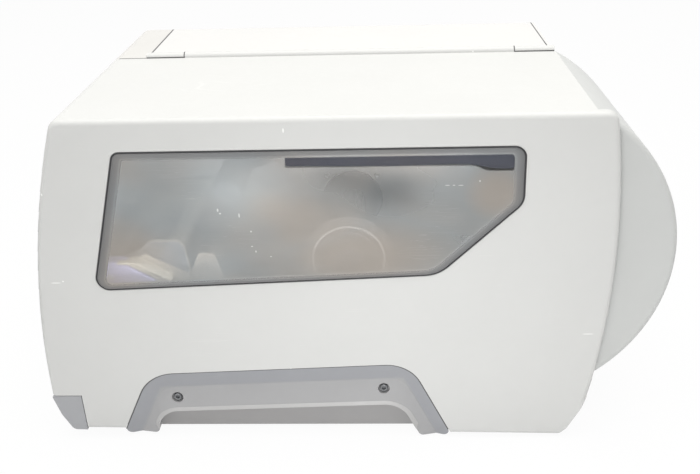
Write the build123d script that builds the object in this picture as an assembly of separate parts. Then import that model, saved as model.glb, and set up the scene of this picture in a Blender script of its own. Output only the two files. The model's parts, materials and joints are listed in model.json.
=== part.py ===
from build123d import *
import os
from math import asin, cos, hypot, sin, sqrt

# Industrial label printer with a lift-up side door.
# Millimetres. +X is the door side, -Y the front where labels leave, +Z up.
# The origin lies on the floor under the middle of the machine.

# Overall size
BODY_L = 492.0          # front curve to roll bulge
BODY_W = 276.0          # left cover to window face
TOP_Z = 280.0           # flat roof
DOOR_LOW = 7.5          # lower edge of the covers
DOOR_LOW_FRONT = DOOR_LOW + 2.5  # the side door's lower edge falls a little to the rear
DOOR_LOW_REAR = DOOR_LOW - 5.5
LEFT_X = -BODY_W / 2    # left face of the machine

# Curved front and rear outlines, seen from the side
FRONT_BOW = 7.0         # how far the front curve stands out past the datum of the front parts
FRONT_Y = FRONT_BOW - BODY_L / 2
FRONT_EDGE_Y = FRONT_Y - FRONT_BOW
FRONT_R = 696.0
FRONT_MID_Z = 45.0      # height at which the front stands furthest out
REAR_Y = BODY_L / 2 - 46.0
REAR_R = 700.0
REAR_MID_Z = 155.0
BULGE_R = 133.4         # roll bulge
BULGE_Y = BODY_L / 2 - BULGE_R
BULGE_Z = TOP_Z - 117.7
ROOF_FRONT_R = 9.0      # roof corners, seen from the side
ROOF_REAR_R = 9.0
EDGE_R = 4.0            # long outer edges of the mouldings

# Walls and clearances
WALL = 3.0
GAP = 0.3               # running gap between separate bodies
BORE_GAP = 0.05         # shaft in its bore, on the radius
DOOR_LINE = 0.6         # door line around fixed trim

# Top hinge
HINGE_X = -31.0
HINGE_Z = TOP_Z
KNUCKLE_R = 4.0
PIN_R = 1.6
SEAM_FRONT_Y = FRONT_Y + 63.5   # seam between front bezel and left cover
SEAM_REAR_Y = REAR_Y - 25.5     # rear edge of the left cover
BARREL_Y0 = SEAM_FRONT_Y + 33.0  # door barrel between the two fixed knuckles
BARREL_Y1 = SEAM_REAR_Y - 34.0

# Door
WINDOW_PROUD = 1.5
DOOR_X = BODY_W / 2 - WINDOW_PROUD
DOOR_EDGE_X = HINGE_X + KNUCKLE_R + GAP
DOOR_RIB_PITCH = 110.0
BULGE_FACE_X = DOOR_X - 8.5
BULGE_GROOVE = 1.5
BULGE_LOW_Z = BULGE_Z - 102.0
BULGE_START_Y = BULGE_Y + sqrt(BULGE_R ** 2 - (TOP_Z - BULGE_Z) ** 2)
BULGE_LOW_Y = BULGE_Y + sqrt(BULGE_R ** 2 - (BULGE_Z - BULGE_LOW_Z) ** 2)

# Window corners (y, z), their radii, and the bevel width along each edge
WINDOW = [(FRONT_Y + 74.6, TOP_Z - 23.7), (REAR_Y - 72.0, TOP_Z - 23.0), (REAR_Y - 71.0, TOP_Z - 67.0),
          (REAR_Y - 131.5, TOP_Z - 125.7), (FRONT_Y + 44.0, TOP_Z - 137.0)]
WINDOW_R = [7.0, 9.0, 14.0, 26.0, 10.0]
WINDOW_BEVEL = [5.0, 6.5, 5.0, 2.5, 6.0]
WINDOW_LINE = 0.4
WINDOW_SEAT = 1.5       # depth of the rebate that takes the window
WINDOW_LAP = 1.0

# Arch skirt corners (y, z), outer and inner. Its legs end just above the floor
SKIRT_FRONT_Z = 4.0
SKIRT_REAR_Z = 1.0
ARCH_OUTER = [(FRONT_Y + 46.3, 2.0), (FRONT_Y + 75.8, 64.5), (REAR_Y - 152.9, 73.6), (REAR_Y - 117.5, 2.0)]
ARCH_OUTER_R = [0.0, 33.0, 30.0, 0.0]
ARCH_INNER = [(FRONT_Y + 76.7, 2.0), (FRONT_Y + 80.2, 26.5), (REAR_Y - 159.6, 33.7), (REAR_Y - 143.7, 2.0)]
ARCH_INNER_R = [0.0, 18.0, 22.0, 0.0]
ARCH_LEG_R = 5.0        # rounded ends of the legs
ARCH_CREASE = [13.3, 16.0, 11.5, 0.0]   # from the outer edge to the crease: front leg, beam, rear leg
ARCH_CREASE_R = [0.0, 19.0, 17.0, 0.0]
SKIRT_X = DOOR_X - 0.7
SKIRT_DISH = 4.0        # how far the crease lies behind the skirt face
SKIRT_LIP = 1.2         # how far the inner edge lies behind it
SKIRT_SCREWS = [(FRONT_Y + 96.0, 39.5), (REAR_Y - 173.3, 47.7)]
SCREW_HEAD_R = 3.5
SCREW_HEAD_H = 3.0
SCREW_R = 2.0
SCREW_BORE_R = SCREW_HEAD_R + 1.25

# Base
PAN_X = DOOR_X - 10.5
PAN_FRONT_Y = FRONT_Y + 19.5
PAN_REAR_Y = REAR_Y - 31.5
PAN_LOW_Z = 6.0
SHEET = 2.5
DECK_Z = 45.0           # floor of the media bay
CHIN_TOP_Z = DECK_Z - 1.5
CHIN_LOW_Z = DOOR_LOW + 1.5
CHIN_REAR_Y = PAN_FRONT_Y - 2.3
SILL_REAR_Y = BULGE_LOW_Y - 3.0
WALL_X1 = HINGE_X + 1.0  # right face of the centre wall
WALL_T = 4.0
WALL_X0 = WALL_X1 - WALL_T
RAIL_T = 3.0
WALL_TOP_Z = HINGE_Z - KNUCKLE_R - RAIL_T - 1.0
FOOT_R = 9.0
FOOT_INSET = 18.0
FOOT_X = PAN_X - 21.0

# Print unit
SHAFT_R = 4.0
CHEEK_X = DOOR_X - 30.5
CHEEK_T = 4.0
BED_TOP_Z = DECK_Z + 47.0
PLATEN_Y = FRONT_Y + 33.5
PLATEN_Z = BED_TOP_Z + 14.0
PLATEN_R = 9.0
EXIT_LOW_Z = PLATEN_Z   # label exit slot in the front
EXIT_TOP_Z = PLATEN_Z + 20.0
HEAD_PIVOT_Y = PLATEN_Y + 68.0
HEAD_PIVOT_Z = PLATEN_Z + 54.0
HEAD_SEAT_Z = PLATEN_Z + 28.0   # underside of the plate that holds the head
HEAD_X0 = WALL_X1 + 8.0
HEAD_X1 = CHEEK_X - 4.0
BED_REAR_Y = HEAD_PIVOT_Y + 12.0
ARM_T = 4.0
HEAD_PLATE_T = 4.0
SINK_FINS = 8
BEARING_R = 8.0
LEVER_Y = HEAD_PIVOT_Y - 18.0
LEVER_Z = HEAD_PIVOT_Z - 15.0
LEVER_PIN_R = 3.0
LEVER_X0 = CHEEK_X + CHEEK_T + GAP
LEVER_T = 11.0
LEVER_REACH = 41.0
SPOT_R = 4.5            # round white spot at the nose of the lever
SPOT_T = 1.2
TRAY_Z = PLATEN_Z + 7.0
TRAY_T = 3.0
TRAY_FRONT_Y = PLATEN_Y + PLATEN_R + 3.0
TRAY_REAR_Y = HEAD_PIVOT_Y

# Media handling
REWIND_Y = HEAD_PIVOT_Y + 45.0
REWIND_Z = TOP_Z - 75.0
SUPPLY_Y = REWIND_Y + 92.0
SUPPLY_Z = TOP_Z - 136.0
HUB_R = 11.0
HUB_FIN = 2.0
HUB_END_X = CHEEK_X - 10.0
FLANGE_R = 28.0
FLANGE_T = 3.0
POST_Y = BULGE_Y + 14.9
POST_Z = BULGE_Z - 2.3
POST_W = 34.0
POST_H = 14.0
POST_END_X = CHEEK_X + 6.0
RETAINER_R = 38.0
RETAINER_T = 6.0
RETAINER_X = POST_END_X - 52.0
DAMPER_Y = REWIND_Y + 35.0
DAMPER_Z = DECK_Z + 25.0
DAMPER_ROD_Y = DAMPER_Y - 35.0
DAMPER_ROD_Z = DAMPER_Z + 18.0
DAMPER_ROD_R = 6.0
DAMPER_PIN_R = 3.0

# Drive
MOTOR_Y = PLATEN_Y + 78.0
MOTOR_Z = DECK_Z + 35.0
MOTOR_SIZE = 57.0
MOTOR_L = 54.0
MOTOR_FACE_X = WALL_X0 - 24.0
MOTOR_SHAFT_R = 3.2
PULLEY_X0 = WALL_X0 - 13.0
PULLEY_X1 = WALL_X0 - 4.0
PLATEN_PULLEY_R = 16.0
MOTOR_PULLEY_R = 8.0
PULLEY_LIP = 2.0
BELT_T = 1.5

# Control panel on the front bezel
PANEL_X = (LEFT_X + WALL_X1) / 2
PANEL_HALF = WALL_X1 - PANEL_X
DISPLAY_Z = TOP_Z - 64.0
DISPLAY_W = 2 * (PANEL_HALF - 15.0)
DISPLAY_H = 58.0
DISPLAY_T = 2.0
BUTTON_Z = DISPLAY_Z - 50.0
BUTTON_PITCH = 27.0
BUTTON_R = 7.0
BUTTON_PROUD = 1.8
BUTTON_TRAVEL = 1.2
LAMP_Z = DISPLAY_Z + 38.0
LAMP_W = 60.0
LAMP_H = 4.0

# Rear connector panel
PANEL_REAR_Y = SEAM_REAR_Y - 2.0
INLET_X = LEFT_X + 30.0
INLET_Z = 64.0
INLET_W = 27.4
INLET_H = 20.0
SWITCH_Z = INLET_Z + 34.0
SWITCH_W = 21.0
SWITCH_H = 15.0
ROCKER_TILT = 12.0      # degrees
ROCKER_Y = PANEL_REAR_Y - 4.0
ROCKER_PIN_R = 1.2
BOARD_X = WALL_X0 - 42.0
BOARD_T = 1.6
BOARD_Y0 = MOTOR_Y + 75.0
BOARD_Y1 = SEAM_REAR_Y - 37.0
BOARD_Z0 = INLET_Z + 16.0
BOARD_Z1 = TOP_Z - 45.0
SUPPLY_UNIT_Y1 = SEAM_REAR_Y - 32.0
SUPPLY_UNIT_L = 118.0
PORT_X = WALL_X0 - 29.0
PORTS = [(PORT_X, 110.0, 16.0, 14.0), (PORT_X, 138.0, 12.0, 11.0), (PORT_X, 172.0, 12.5, 31.0)]


# Basic shapes

def block(x0, x1, y0, y1, z0, z1):
    middle = Pos((x0 + x1) / 2, (y0 + y1) / 2, (z0 + z1) / 2)
    return middle * Box(x1 - x0, y1 - y0, z1 - z0)


def rod_x(x0, x1, y, z, r):
    return Pos((x0 + x1) / 2, y, z) * Rot(0, 90, 0) * Cylinder(r, x1 - x0)


def rod_y(y0, y1, x, z, r):
    return Pos(x, (y0 + y1) / 2, z) * Rot(90, 0, 0) * Cylinder(r, y1 - y0)


def rod_z(z0, z1, x, y, r):
    return Pos(x, y, (z0 + z1) / 2) * Cylinder(r, z1 - z0)


def prism_x(face, x0, x1):
    return extrude(Plane.YZ.offset(x0) * face, amount=x1 - x0, dir=(1, 0, 0))


def outline(points, radii):
    return make_face(FilletPolyline(*points, radius=radii, close=True))


def plate_x(points, x0, x1, radii=0.0):
    if isinstance(radii, float):
        radii = [radii] * len(points)
    return prism_x(outline(points, radii), x0, x1)


def offset_points(points, steps):
    """Moves each edge of a clockwise outline inwards by its own step."""
    lines = []
    count = len(points)
    for i in range(count):
        (ya, za), (yb, zb) = points[i], points[(i + 1) % count]
        length = hypot(yb - ya, zb - za)
        ny, nz = (zb - za) / length, -(yb - ya) / length
        lines.append((ny, nz, ny * ya + nz * za + steps[i]))
    moved = []
    for i in range(count):
        n1y, n1z, d1 = lines[i - 1]
        n2y, n2z, d2 = lines[i]
        det = n1y * n2z - n1z * n2y
        moved.append(((d1 * n2z - d2 * n1z) / det, (n1y * d2 - n2y * d1) / det))
    return moved


# Outlines seen from the side

def front_y(z, inset=0.0):
    return FRONT_EDGE_Y + FRONT_R - sqrt((FRONT_R - inset) ** 2 - (z - FRONT_MID_Z) ** 2)


def rear_y(z, inset=0.0):
    return REAR_Y - REAR_R + sqrt((REAR_R - inset) ** 2 - (z - REAR_MID_Z) ** 2)


def side_face(inset, low, low_rear=None):
    """Closed outline of curved front, flat roof and curved rear, down to a level or a slope."""
    if low_rear is None:
        low_rear = low
    top = TOP_Z - inset
    mid = (low + top) / 2
    front = ThreePointArc((front_y(low, inset), low), (front_y(mid, inset), mid), (front_y(top, inset), top))
    roof = Line((front_y(top, inset), top), (rear_y(top, inset), top))
    rear = ThreePointArc((rear_y(top, inset), top), (rear_y(mid, inset), mid), (rear_y(low_rear, inset), low_rear))
    base = Line((rear_y(low_rear, inset), low_rear), (front_y(low, inset), low))
    face = make_face([front, roof, rear, base])
    corners = face.vertices().group_by(Axis.Y)[-1].sort_by(Axis.X)
    face = fillet(corners[0], ROOF_FRONT_R - inset)
    corners = face.vertices().filter_by(lambda v: v.X > 0).sort_by(Axis.Y)
    return fillet(corners[-1], ROOF_REAR_R - inset)


def along(a, b, z):
    """Point at a height on the line through two points of an outline."""
    return (a[0] + (b[0] - a[0]) * (z - a[1]) / (b[1] - a[1]), z)


def deepened(points):
    """An arch outline with its two legs carried on below the floor."""
    leg_a, tl, tr, leg_d = points
    return [along(leg_a, tl, -20.0), tl, tr, along(leg_d, tr, -20.0)]


def arch_prism(points, radii, x0, x1, grow):
    """The arch between its legs, open at the floor, grown by a clearance."""
    return plate_x(deepened(offset_points(points, [-grow] * len(points))), x0, x1, radii)


def panel_plane(x, z, sink=0.0):
    """Work plane on the curved front at a height, sunk below the surface."""
    tilt = asin((z - FRONT_MID_Z) / FRONT_R)
    normal = Vector(0, -cos(tilt), sin(tilt))
    return Plane(origin=Vector(x, front_y(z), z) - normal * sink, x_dir=(1, 0, 0), z_dir=normal)


# Side door

def side_door():
    outer = prism_x(side_face(0.0, DOOR_LOW_FRONT, DOOR_LOW_REAR), DOOR_EDGE_X, DOOR_X)
    outer = fillet(outer.faces().sort_by(Axis.X)[-1].edges(), EDGE_R)
    shell = outer - prism_x(side_face(WALL, DOOR_LOW_REAR - WALL), DOOR_EDGE_X - 1, DOOR_X - WALL)
    inside = DOOR_X - WALL
    shell -= block(DOOR_EDGE_X - 1, inside, FRONT_EDGE_Y - 1, SEAM_FRONT_Y, 0, EXIT_TOP_Z)
    # Opening that the bulge closes: first the rear wall, then the end of the roof
    rear_wall_y = rear_y(DOOR_LOW_REAR, WALL) - 1
    shell -= block(DOOR_EDGE_X - 1, BULGE_FACE_X + BULGE_GROOVE, rear_wall_y, REAR_Y + 1, 0, BULGE_Z)
    shell -= block(DOOR_EDGE_X - 1, BULGE_FACE_X + BULGE_GROOVE, BULGE_START_Y, REAR_Y + 1, BULGE_Z, TOP_Z + 1)
    shell -= block(inside - 1, DOOR_X + 1, FRONT_EDGE_Y - 1, CHIN_REAR_Y + DOOR_LINE,
                   0, CHIN_TOP_Z + DOOR_LINE)
    low = DOOR_LOW_REAR
    corner = [(REAR_Y - 34, low - 3), (REAR_Y - 30.5, low + 0.9), (REAR_Y - 23.8, low + 7.5), (REAR_Y - 13.5, low + 28),
              (REAR_Y - 7.8, low + 43), (REAR_Y + 6, low + 74), (REAR_Y + 6, low - 3)]
    shell -= plate_x(corner, inside - 10, DOOR_X + 1)
    shell -= arch_prism(ARCH_OUTER, ARCH_OUTER_R, inside - 1, DOOR_X + 1, DOOR_LINE)
    shell -= plate_x(WINDOW, DOOR_X - WINDOW_SEAT, DOOR_X + 1, WINDOW_R)
    opening = offset_points(WINDOW, [WINDOW_LAP + b for b in WINDOW_BEVEL])
    shell -= plate_x(opening, inside - 1, DOOR_X, 5.0)
    # The two ends clear the fixed knuckles, the middle carries the barrel
    shell += block(HINGE_X, DOOR_EDGE_X, BARREL_Y0 + GAP, BARREL_Y1 - GAP, TOP_Z - WALL, TOP_Z)
    shell += rod_y(BARREL_Y0 + GAP, BARREL_Y1 - GAP, HINGE_X, HINGE_Z, KNUCKLE_R)
    shell -= rod_y(BARREL_Y0, BARREL_Y1, HINGE_X, HINGE_Z, PIN_R + BORE_GAP)
    # Stiffening ribs under the roof
    for y in (-DOOR_RIB_PITCH, 0.0, DOOR_RIB_PITCH):
        shell += block(DOOR_EDGE_X + 12, inside, y - 1.5, y + 1.5, TOP_Z - WALL - 5, TOP_Z - WALL)
    return shell


def door_window():
    """Smoked pane in its rebate, its edge bevelled back to the door face."""
    seat = DOOR_X - WINDOW_SEAT
    rim = offset_points(WINDOW, [WINDOW_LINE] * len(WINDOW))
    face = offset_points(WINDOW, WINDOW_BEVEL)
    pane = plate_x(rim, seat, DOOR_X, WINDOW_R)
    rim_face = Plane.YZ.offset(DOOR_X) * outline(rim, WINDOW_R)
    top_face = Plane.YZ.offset(BODY_W / 2) * outline(face, [r * 0.7 for r in WINDOW_R])
    pane += loft([rim_face, top_face], ruled=True)
    return pane


def window_retainer():
    """Frame that holds the window from inside."""
    inside = DOOR_X - WALL
    outer = offset_points(WINDOW, [1.0] * len(WINDOW))
    opening = offset_points(WINDOW, [WINDOW_LAP + b for b in WINDOW_BEVEL])
    frame = plate_x(outer, inside - 2.0, inside, WINDOW_R)
    return frame - plate_x(opening, inside - 3.0, inside + 1, 5.0)


def door_rear_bulge():
    """Part drum that covers the back of the label roll."""
    drum = rod_x(DOOR_EDGE_X, BULGE_FACE_X, BULGE_Y, BULGE_Z, BULGE_R)
    drum = fillet(drum.edges().group_by(Axis.X)[-1], EDGE_R)
    drum -= rod_x(DOOR_EDGE_X - 1, BULGE_FACE_X - WALL, BULGE_Y, BULGE_Z, BULGE_R - WALL)
    drum &= block(DOOR_EDGE_X - 2, DOOR_X, BULGE_START_Y, BODY_L / 2 + 1, BULGE_LOW_Z, TOP_Z)
    # Rib that joins the drum to the inside of the door
    return drum + block(BULGE_FACE_X, DOOR_X - WALL, BULGE_START_Y + 2, BULGE_START_Y + 5,
                        BULGE_LOW_Z + 18, TOP_Z - 30)


# Fixed housing

def base_pan():
    pan = block(-PAN_X, PAN_X, PAN_FRONT_Y, PAN_REAR_Y, PAN_LOW_Z, DECK_Z - WALL)
    wall = SHEET
    pan -= block(-PAN_X + wall, PAN_X - wall, PAN_FRONT_Y + wall, PAN_REAR_Y - wall, PAN_LOW_Z + wall, DECK_Z)
    for side in (-1, 1):
        for y, z in SKIRT_SCREWS:
            if z < DECK_Z - WALL:
                pan -= rod_x(side * PAN_X - 5, side * PAN_X + 5, y, z, SCREW_R)
    return pan


def media_deck():
    """Floor of the media bay, with a shallow raised rim at its door side."""
    deck = block(WALL_X1, PAN_X, PAN_FRONT_Y, PAN_REAR_Y, DECK_Z - WALL, DECK_Z)
    return deck + block(PAN_X - 3, PAN_X, BED_REAR_Y + 2, PAN_REAR_Y, DECK_Z, DECK_Z + 4)


def rear_sill():
    """Wall that closes the bay below the roll bulge."""
    top = BULGE_LOW_Z - 0.5
    points = [(PAN_REAR_Y, PAN_LOW_Z + 6), (PAN_REAR_Y, top), (SILL_REAR_Y, top), (SILL_REAR_Y - 5, top - 11)]
    hollow = offset_points(points, [-1.0, WALL, WALL, WALL])
    return plate_x(points, WALL_X1, PAN_X) - plate_x(hollow, WALL_X1 + WALL, PAN_X - WALL)


def centre_wall():
    """Cast wall between the electronics and the media bay."""
    wall = prism_x(side_face(WALL + 1, DECK_Z), WALL_X0, WALL_X1)
    wall &= block(WALL_X0, WALL_X1, FRONT_EDGE_Y, PAN_REAR_Y - 2, 0, WALL_TOP_Z)
    wall += block(WALL_X0, WALL_X1, PAN_FRONT_Y + SHEET, PAN_REAR_Y - SHEET, PAN_LOW_Z + SHEET, DECK_Z)
    disc = rod_x(WALL_X0, WALL_X1, BULGE_Y, BULGE_Z, BULGE_R - 1)
    wall += disc & block(WALL_X0, WALL_X1, 0, BODY_L, BULGE_LOW_Z, WALL_TOP_Z)
    x0, x1 = WALL_X0 - 1, WALL_X1 + 1
    wall -= rod_x(x0, x1, PLATEN_Y, PLATEN_Z, BEARING_R)
    for y, z in ((SUPPLY_Y, SUPPLY_Z), (REWIND_Y, REWIND_Z)):
        wall -= rod_x(x0, x1, y, z, SHAFT_R + BORE_GAP)
    wall -= rod_x(x0, x1, DAMPER_Y, DAMPER_Z, DAMPER_PIN_R + BORE_GAP)
    return wall


def hinge_rail():
    """Rail on the centre wall with the two fixed knuckles of the door hinge."""
    rail = block(HINGE_X - 29, DOOR_EDGE_X, SEAM_FRONT_Y, SEAM_REAR_Y, WALL_TOP_Z, WALL_TOP_Z + RAIL_T)
    for y0, y1 in ((SEAM_FRONT_Y, BARREL_Y0), (BARREL_Y1, SEAM_REAR_Y)):
        rail += rod_y(y0, y1, HINGE_X, HINGE_Z, KNUCKLE_R)
        rail += block(HINGE_X - KNUCKLE_R, HINGE_X + KNUCKLE_R, y0, y1, WALL_TOP_Z + RAIL_T, HINGE_Z)
    return rail - rod_y(SEAM_FRONT_Y - 1, SEAM_REAR_Y + 1, HINGE_X, HINGE_Z, PIN_R)


def left_cover():
    """Folded cover of the electronics side, with cooling slots."""
    right = HINGE_X - KNUCKLE_R - GAP
    left = LEFT_X
    cover = block(left, right, SEAM_FRONT_Y + GAP, SEAM_REAR_Y, DOOR_LOW, TOP_Z)
    edges = cover.edges().filter_by(Axis.Y).group_by(Axis.Z)[-1].sort_by(Axis.X)
    cover = fillet(edges[0], EDGE_R)
    cover -= block(left + WALL, right + 1, SEAM_FRONT_Y - 1, SEAM_REAR_Y + 1, 0, TOP_Z - WALL)
    cover -= arch_prism(ARCH_OUTER, ARCH_OUTER_R, left - 1, left + WALL + 1, GAP)
    for i in range(9):
        y = SEAM_REAR_Y - 112 + i * 10.0
        cover -= block(left - 1, left + WALL + 1, y, y + 4, TOP_Z - 130, TOP_Z - 65)
    return cover


def front_bezel():
    """Front moulding of the left half that carries the control panel."""
    left, right = LEFT_X, DOOR_EDGE_X - GAP
    outer = prism_x(side_face(0.0, CHIN_TOP_Z), left, right)
    outer = fillet(outer.faces().sort_by(Axis.X)[0].edges(), EDGE_R)
    outer -= prism_x(side_face(WALL, CHIN_TOP_Z - WALL), left + WALL, right + 1)
    bezel = outer & block(left, right, FRONT_EDGE_Y - 1, SEAM_FRONT_Y, CHIN_TOP_Z, TOP_Z + 1)
    bezel -= panel_plane(PANEL_X, DISPLAY_Z) * Box(DISPLAY_W, DISPLAY_H, 20)
    bezel -= panel_plane(PANEL_X, LAMP_Z) * Box(LAMP_W, LAMP_H, 20)
    for i in (-1, 0, 1):
        bezel -= panel_plane(PANEL_X + i * BUTTON_PITCH, BUTTON_Z) * Cylinder(BUTTON_R + GAP, 20)
    return bezel


def front_chin():
    """Dark foot of the front, which shows as a corner beside the door."""
    points = [(CHIN_REAR_Y, CHIN_TOP_Z), (front_y(CHIN_TOP_Z), CHIN_TOP_Z), (FRONT_Y - 2, CHIN_LOW_Z + 16),
              (CHIN_REAR_Y - 11.5, CHIN_LOW_Z + 0.5), (CHIN_REAR_Y, CHIN_LOW_Z)]
    chin = plate_x(points, LEFT_X, DOOR_X, [0.0, 1.0, 12.0, 5.0, 0.0])
    back = block(-PAN_X - 4, PAN_X + 4, CHIN_REAR_Y - 1, PAN_FRONT_Y, CHIN_LOW_Z, CHIN_TOP_Z)
    hollow = block(LEFT_X + WALL, DOOR_X - WALL, CHIN_REAR_Y - 9, PAN_FRONT_Y - WALL, 0, CHIN_TOP_Z - WALL)
    return chin + back - hollow


def exit_fascia():
    """Front panel below the label exit slot."""
    right = DOOR_X - WALL - GAP
    outer = prism_x(side_face(1.0, CHIN_TOP_Z), DOOR_EDGE_X, right)
    panel = outer & block(DOOR_EDGE_X, right, FRONT_EDGE_Y, PAN_FRONT_Y - 2, CHIN_TOP_Z, EXIT_LOW_Z)
    hollow = prism_x(side_face(1.0 + WALL, CHIN_TOP_Z - WALL), DOOR_EDGE_X + WALL, right - WALL)
    return panel - (hollow & block(DOOR_EDGE_X, right, FRONT_EDGE_Y, PAN_FRONT_Y, 0, EXIT_LOW_Z - WALL))


def arch_band():
    """Outline of the arch with rounded ends to its two legs."""
    leg_a, tl, tr, leg_d = ARCH_OUTER
    leg_e, ul, ur, leg_h = ARCH_INNER
    points = [along(leg_a, tl, SKIRT_FRONT_Z), tl, tr, along(leg_d, tr, SKIRT_REAR_Z), along(leg_h, ur, SKIRT_REAR_Z),
              ur, ul, along(leg_e, ul, SKIRT_FRONT_Z)]
    radii = [ARCH_LEG_R, ARCH_OUTER_R[1], ARCH_OUTER_R[2], ARCH_LEG_R, ARCH_LEG_R, ARCH_INNER_R[2],
             ARCH_INNER_R[1], ARCH_LEG_R]
    return outline(points, radii)


def arch_skirt():
    """Dark arch with two legs. A crease runs along it and its face dishes in to that crease."""
    skirt = prism_x(arch_band(), PAN_X, SKIRT_X)
    rim = outline(deepened(ARCH_OUTER), ARCH_OUTER_R)
    crease = outline(deepened(offset_points(ARCH_OUTER, ARCH_CREASE)), ARCH_CREASE_R)
    mouth = outline(deepened(ARCH_INNER), ARCH_INNER_R)
    sink = Plane.YZ.offset(SKIRT_X - SKIRT_DISH)
    skirt -= loft([Plane.YZ.offset(SKIRT_X) * rim, sink * crease], ruled=True)
    inner_band = loft([sink * crease, Plane.YZ.offset(SKIRT_X - SKIRT_LIP) * mouth], ruled=True)
    skirt += inner_band & prism_x(arch_band(), PAN_X, SKIRT_X)
    for y, z in SKIRT_SCREWS:
        skirt -= rod_x(SKIRT_X - 6, SKIRT_X + 1, y, z, SCREW_BORE_R)
        skirt -= rod_x(PAN_X - 1, SKIRT_X, y, z, SCREW_R)
    return skirt


def skirt_screws():
    screws = []
    top = SKIRT_X - 6 + SCREW_HEAD_H
    for y, z in SKIRT_SCREWS:
        head = rod_x(SKIRT_X - 6, top, y, z, SCREW_HEAD_R)
        head -= Pos(top, y, z) * Rot(0, 90, 0) * extrude(RegularPolygon(1.6, 6), 1.8, both=True)
        screw = head + rod_x(PAN_X, SKIRT_X - 6, y, z, SCREW_R)
        screws += [screw, mirrored(screw)]
    return Compound(screws)


def rubber_feet():
    """Four round feet under the corners of the base pan."""
    feet = []
    for x in (-FOOT_X, FOOT_X):
        for y in (PAN_FRONT_Y + FOOT_INSET, PAN_REAR_Y - FOOT_INSET):
            foot = rod_z(0, PAN_LOW_Z, x, y, FOOT_R)
            feet.append(chamfer(foot.edges().group_by(Axis.Z)[0], 1.5))
    return Compound(feet)


# Control panel

def display_lens():
    return panel_plane(PANEL_X, DISPLAY_Z, 0.6 + DISPLAY_T / 2) * Box(DISPLAY_W, DISPLAY_H, DISPLAY_T)


def display_module():
    depth = 5.0
    return panel_plane(PANEL_X, DISPLAY_Z, 0.6 + DISPLAY_T + depth / 2) * Box(DISPLAY_W - 4, DISPLAY_H - 4, depth)


def status_lamps():
    return panel_plane(PANEL_X, LAMP_Z, 1.4) * Box(LAMP_W, LAMP_H, 3.0)


def panel_button(i):
    """Round button with a flange behind the bezel wall."""
    x = PANEL_X + i * BUTTON_PITCH
    depth = WALL + BUTTON_PROUD + 1.0
    cap = panel_plane(x, BUTTON_Z, depth / 2 - BUTTON_PROUD) * Cylinder(BUTTON_R, depth)
    front = cap.faces().sort_by(Axis.Y)[0]
    cap = fillet(front.edges(), 0.8)
    return cap + panel_plane(x, BUTTON_Z, WALL + 0.7 + 0.75) * Cylinder(BUTTON_R + 2, 1.5)


def control_board():
    """Board behind the buttons, on two posts moulded to its height."""
    sink = WALL + 0.7 + 1.5 + BUTTON_TRAVEL + GAP
    board = panel_plane(PANEL_X, BUTTON_Z, sink + 0.8) * Box(2 * PANEL_HALF - 16, 30, 1.6)
    for side in (-1, 1):
        post = panel_plane(PANEL_X + side * (PANEL_HALF - 12), BUTTON_Z, (sink + WALL) / 2 + 0.1)
        board += post * Cylinder(2.0, sink - WALL - 0.2)
    return board


# Print unit

def print_bed():
    """Cast bed with the outer cheek that carries platen, head shaft and lever."""
    cheek_points = [(PAN_FRONT_Y, DECK_Z), (PAN_FRONT_Y, PLATEN_Z + 13), (PLATEN_Y + 13, PLATEN_Z + 13),
                    (LEVER_Y - 18, LEVER_Z + 7), (LEVER_Y, HEAD_PIVOT_Z + 12), (HEAD_PIVOT_Y + 9, HEAD_PIVOT_Z + 12),
                    (BED_REAR_Y, HEAD_PIVOT_Z - 10), (BED_REAR_Y, DECK_Z)]
    bed = plate_x(cheek_points, CHEEK_X, CHEEK_X + CHEEK_T, [0.0, 4.0, 4.0, 10.0, 10.0, 8.0, 8.0, 0.0])
    bed += block(WALL_X1, CHEEK_X, PAN_FRONT_Y, BED_REAR_Y, DECK_Z, BED_TOP_Z)
    bed -= block(WALL_X1 + 4, CHEEK_X - 4, PAN_FRONT_Y + 4, BED_REAR_Y + 1, DECK_Z - 1, BED_TOP_Z - 4)
    bed -= rod_x(CHEEK_X - 1, CHEEK_X + CHEEK_T + 1, PLATEN_Y, PLATEN_Z, BEARING_R)
    bed -= rod_x(CHEEK_X - 1, CHEEK_X + CHEEK_T + 1, HEAD_PIVOT_Y, HEAD_PIVOT_Z, SHAFT_R)
    return bed + rod_x(CHEEK_X + CHEEK_T, LEVER_X0 + 7, LEVER_Y, LEVER_Z, LEVER_PIN_R)


def tear_bar():
    """Serrated bar over which labels are torn off."""
    front, back = PLATEN_Y - PLATEN_R - 5, PLATEN_Y - PLATEN_R - 2
    bar = block(HEAD_X0, HEAD_X1, front, back, BED_TOP_Z, TRAY_Z)
    teeth = 31
    pitch = (HEAD_X1 - HEAD_X0) / teeth
    ridge = [(HEAD_X1, TRAY_Z), (HEAD_X0, TRAY_Z)]
    for i in range(teeth):
        ridge.append((HEAD_X0 + (i + 0.5) * pitch, TRAY_Z + 1.6))
        ridge.append((HEAD_X0 + (i + 1) * pitch, TRAY_Z))
    saw = make_face(Polyline(*ridge[:-1], close=True))
    return bar + extrude(Plane.XZ.offset(-back) * saw, amount=1.0, dir=(0, -1, 0))


def platen_rubber():
    sleeve = rod_x(HEAD_X0, HEAD_X1, PLATEN_Y, PLATEN_Z, PLATEN_R)
    return sleeve - rod_x(HEAD_X0 - 1, HEAD_X1 + 1, PLATEN_Y, PLATEN_Z, SHAFT_R)


def platen_shaft():
    return rod_x(PULLEY_X0 - 2, CHEEK_X + CHEEK_T + 2, PLATEN_Y, PLATEN_Z, SHAFT_R)


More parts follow.
